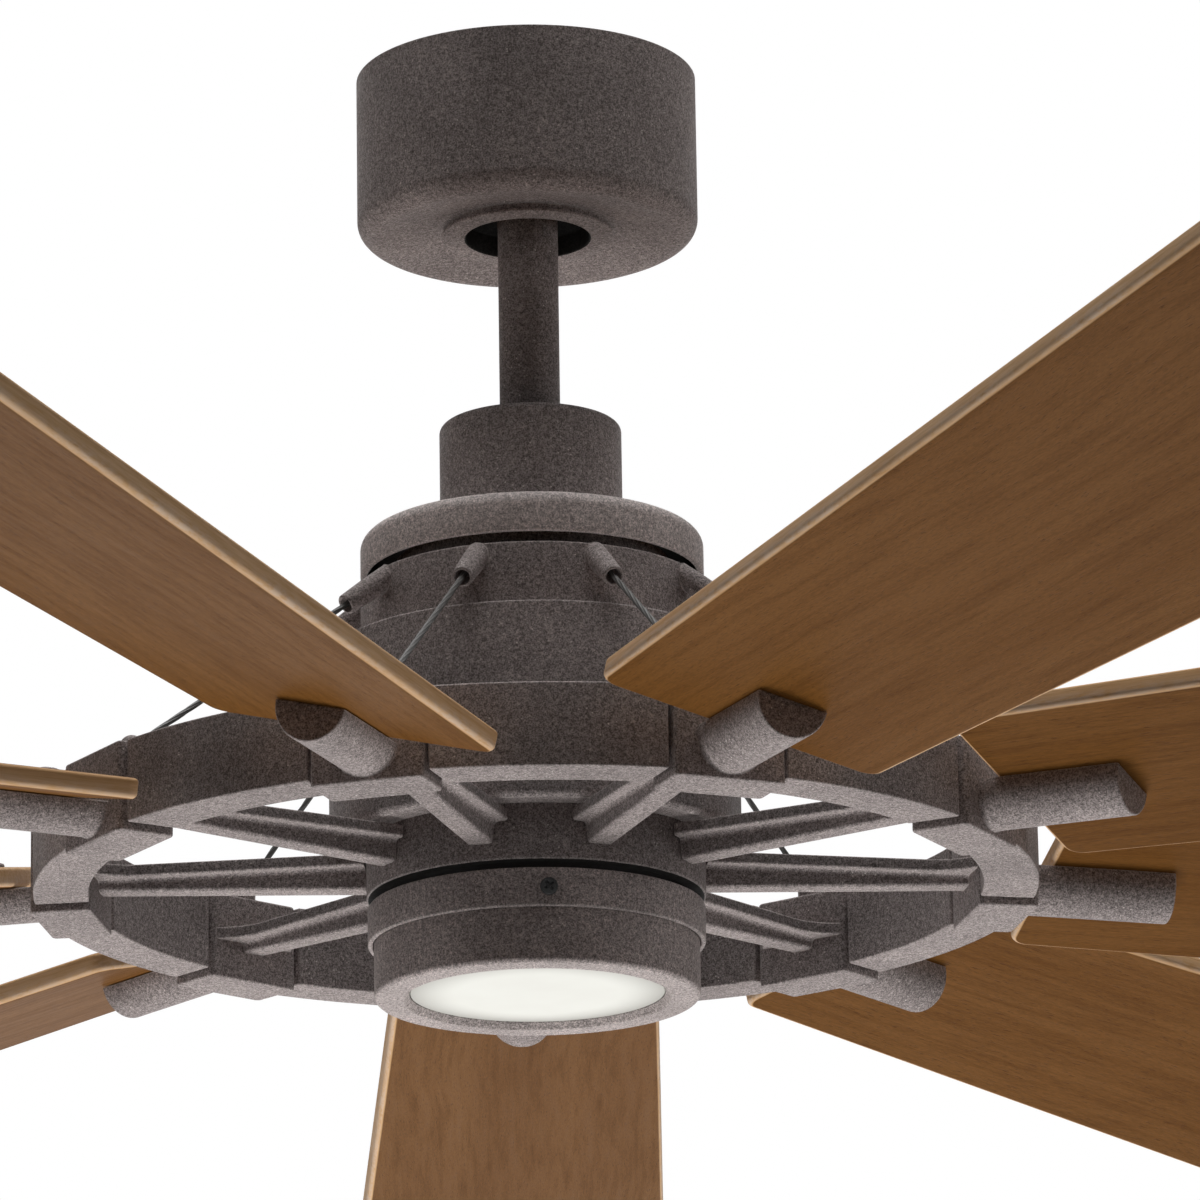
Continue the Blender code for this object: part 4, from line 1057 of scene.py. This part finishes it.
def rim_bar():
    """A curved bar of rounded section between two blocks, with a smaller tenon at each end.

    A section's point at radius r stands at the share times (half a pitch - asin(clear / r)), so that the
    ends are parallel to the blocks' sides.
    """

    def section(inset, radius):
        """The bar's section, drawn in on all four sides."""
        top, bottom = RIM_TOP - inset, RIM_BOTTOM + inset
        outer, inner = RIM_OUTER - inset, RIM_INNER + inset
        corners = [(outer, top), (outer, bottom), (inner, bottom), (inner, top)]
        return rounded([(*corner, radius) for corner in corners])

    tip = BLOCK_HALF + 0.3
    shoulder = tip + TENON
    plain, eased, small = section(0, 0.9), section(0.5, 0.7), section(4, 0.5)
    ends = [(1, tip, small), (1, shoulder, small), (1, shoulder, eased), (1, shoulder + 0.5, plain)]
    stations = [(-share, clear, outline) for share, clear, outline in ends]
    stations += [(share, shoulder + 0.5, plain) for share in np.linspace(-1, 1, 25)[1:-1]]
    stations += ends[::-1]
    rows = []
    for share, clear, outline in stations:
        radius, level = outline.T
        angle = share * (math.pi / BLADES - np.arcsin(clear / radius))
        rows.append(np.column_stack([radius * np.cos(angle), radius * np.sin(angle), level]))
    return capped(np.array(rows))


bar_shell = rim_bar()
for number in range(BLADES):
    name, node = f"rim_bar_{number + 1}", f"rim_segment_{number + 1}"
    new_piece(name, at_arm(bar_shell, number, 0.5), zinc, "rotor", node)


def stay():
    """A cable of six strands on a straight line: radius 1.07 (1 + 0.13 cos 6 (angle - twist)), where the
    twist is one turn in each 60 mm of the way along it."""
    _, length = stay_slope()
    way = np.linspace(TUBE_LENGTH - TUBE_BORE_DEPTH + 0.3, length - 2.8, 150)[:, None]
    angle = np.linspace(0, 2 * math.pi, 36, endpoint=False)
    twist = 2 * math.pi * way / STRAND_PITCH
    radius = 1.07 * (1 + 0.13 * np.cos(STRANDS * (angle - twist)))
    return capped(np.stack([radius * np.cos(angle), radius * np.sin(angle), way + 0 * angle], -1))


stay_shell = on_stay(stay())
for number in range(BLADES):
    part = at_arm(stay_shell, number)
    name, node = f"stay_wire_{number + 1}", f"stay_cable_{number + 1}"
    new_piece(name, part, stay_wire, "rotor", node, crease=60)


# Blades


def board():
    """A blade in its seat's frame, its edge rubbed over by quarter ellipses, more below than above, and how
    far each point is on that edge: nothing on the faces, 1 at the lower arris, less across the edge."""
    outline = rounded([(7.7, -61.5, 9), (616.9, -89.5, 24), (616.9, 77.0, 24), (7.7, 59.0, 8)], steps=14)
    quarter = np.linspace(0, math.pi / 2, 8)
    low = np.column_stack([3.0 * (1 - np.sin(quarter)), BOARD_BOTTOM + 2.4 * (1 - np.cos(quarter))])
    high = np.column_stack([2.0 * (1 - np.cos(quarter)), BOARD_TOP - 1.8 * (1 - np.sin(quarter))])
    edge = np.concatenate([[(4.6, BOARD_BOTTOM)], low, high])
    low_share = [0, 0, 0.4, 0.9, 1, 1, 1, 0.8]
    high_share = [0.45, 0.45, 0.5, 0.6, 0.6, 0.3, 0.1, 0]
    share = np.array([0, 0, *low_share, *high_share, 0], float)
    return edged(outline, edge), np.repeat(share, len(outline))


board_shell, board_edge = board()
seated_board = moved(board_shell, blade_seat)
for number in range(BLADES):
    name, node = f"board_{number + 1}", f"blade_{number + 1}"
    part = at_arm(seated_board, number)
    # Each board is sawn from another place in the plank.
    own_place = board_shell[0] + (900 * number, 37 * number, 211 * number)
    new_piece(name, part, walnut, "rotor", node, board=own_place, edge=board_edge)

# CAD nodes that stay as they are, with their finishes

kept = {
    plated: ["hanger_bracket", "ball_pin", "yoke_pin"],
    ground: ["motor_shaft", "upper_bearing", "lower_bearing"],
    black: ["hanger_ball", "coupling_yoke", "magnet_ring"],
    copper: ["stator"],
    sheet_metal: ["led_module"],
}
for material, names in kept.items():
    for name in names:
        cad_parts[name].material_slots[0].material = material


# Floor, light and camera


def seen_rays(tree):
    """1 for a ray from the camera, a mirror or a clear piece, and 0 for the light that surfaces throw."""
    rays = tree.nodes.new("ShaderNodeLightPath").outputs
    seen = maths(tree, "MAXIMUM", rays["Is Camera Ray"], rays["Is Glossy Ray"])
    return maths(tree, "MAXIMUM", seen, rays["Is Transmission Ray"])


def floor_finish():
    """Pale where it is seen, by its colour and a glow of its own, darker in the light that it throws
    back, and seen only from above, so that a view from below looks up through it."""
    made, tree, shader = new_material("studio_floor", Emission_Strength=1.0, Roughness=0.8)
    tone = remap(tree, noise(tree, object_place(tree), 3.0, 4.0), 0.3, 0.7)
    pale = mixed(tree, tone, (0.8, 0.8, 0.79), (0.76, 0.76, 0.75))
    seen = seen_rays(tree)
    tree.links.new(mixed(tree, seen, (0.25, 0.25, 0.25), pale), shader["Base Color"])
    tree.links.new(mixed(tree, seen, (0.0, 0.0, 0.0), (0.66, 0.66, 0.655)), shader["Emission Color"])
    below = tree.nodes.new("ShaderNodeNewGeometry").outputs["Backfacing"]
    through = tree.nodes.new("ShaderNodeBsdfTransparent").outputs[0]
    one_sided = tree.nodes.new("ShaderNodeMixShader")
    tree.links.new(below, one_sided.inputs[0])
    tree.links.new(tree.nodes["Principled BSDF"].outputs[0], one_sided.inputs[1])
    tree.links.new(through, one_sided.inputs[2])
    tree.links.new(one_sided.outputs[0], tree.nodes["Material Output"].inputs[0])
    return made


floor_mesh = bpy.data.meshes.new("floor")
floor_signs = ((-1, -1), (1, -1), (1, 1), (-1, 1))
floor_corners = [(x * STUDIO_REACH, y * STUDIO_REACH, STUDIO_LEVEL) for x, y in floor_signs]
floor_mesh.from_pydata(floor_corners, [], [(0, 1, 2, 3)])
floor_mesh.materials.append(floor_finish())
floor = bpy.data.objects.new("floor", floor_mesh)
bpy.context.scene.collection.objects.link(floor)


def soft_lamp(name, place, target, size, power, shadow=True):
    """A square area lamp that isn't itself seen. Its local Z points from the target to the lamp, its X is
    level and across that, and its Y is the cross product of the two."""
    lamp = bpy.data.lights.new(name, "AREA")
    lamp.size = size
    lamp.energy = power
    lamp.use_shadow = shadow
    made = bpy.data.objects.new(name, lamp)
    made.location = place
    away = np.array(place, float) - np.array(target, float)
    away /= np.linalg.norm(away)
    side = np.cross((0.0, 1.0, 0.0) if abs(away[2]) > 0.9 else (0.0, 0.0, 1.0), away)
    side /= np.linalg.norm(side)
    rotation = np.column_stack([side, np.cross(away, side), away])
    made.rotation_mode = "QUATERNION"
    made.rotation_quaternion = Matrix(rotation.tolist()).to_quaternion()
    made.visible_camera = False
    bpy.context.scene.collection.objects.link(made)


soft_lamp("lamp_below", (-0.15, 0.6, -2.55), (0, 0, -0.35), 1.3, 42)
soft_lamp("lamp_under", (0.0, 0.3, -2.6), (0, 0, -0.35), 0.6, 8, shadow=False)
soft_lamp("lamp_above", (0.0, 0.0, 2.6), (0, 0, -0.3), 2.5, 84)
soft_lamp("lamp_left", (-3.4, 0.1, -0.7), (0, 0, -0.25), 1.4, 9)
soft_lamp("lamp_right", (3.4, 0.1, -0.7), (0, 0, -0.25), 1.4, 15)
soft_lamp("lamp_front", (0.1, -3.0, 1.6), (0, 0, -0.2), 1.6, 3.6)

world = bpy.data.worlds.new("studio")
bpy.context.scene.world = world
world.use_nodes = True
sky = world.node_tree
sky.nodes.clear()
lighting = add_node(sky, "ShaderNodeBackground", {"Color": (0.018, 0.018, 0.018, 1)}).outputs[0]
backdrop = add_node(sky, "ShaderNodeBackground", {"Color": (1, 1, 1, 1)}).outputs[0]
blend = sky.nodes.new("ShaderNodeMixShader")
sky.links.new(seen_rays(sky), blend.inputs[0])
sky.links.new(lighting, blend.inputs[1])
sky.links.new(backdrop, blend.inputs[2])
sky.links.new(blend.outputs[0], sky.nodes.new("ShaderNodeOutputWorld").inputs[0])


def photo_camera():
    """The camera fitted to the photograph. Its right, up and back in the world come from yaw (from +Y
    towards +X), pitch (upwards) and roll (right towards up)."""
    yaw, pitch, roll = 0.0061, 0.2818, -0.0156
    ahead = Vector((math.sin(yaw) * math.cos(pitch), math.cos(yaw) * math.cos(pitch), math.sin(pitch)))
    level_right = Vector((math.cos(yaw), -math.sin(yaw), 0))
    level_up = level_right.cross(ahead)
    right = level_right * math.cos(roll) + level_up * math.sin(roll)
    up = level_up * math.cos(roll) - level_right * math.sin(roll)
    camera = bpy.data.cameras.new("camera")
    camera.lens = 237.74
    camera.sensor_width = 36
    camera.clip_end = 100
    made = bpy.data.objects.new("camera", camera)
    place = Matrix((right, up, -ahead)).transposed().to_4x4()
    place.translation = (0.00878, -3.1756, -1.1485)
    made.matrix_world = place
    bpy.context.scene.collection.objects.link(made)
    bpy.context.scene.camera = made


photo_camera()
bpy.context.scene.view_settings.view_transform = "Standard"
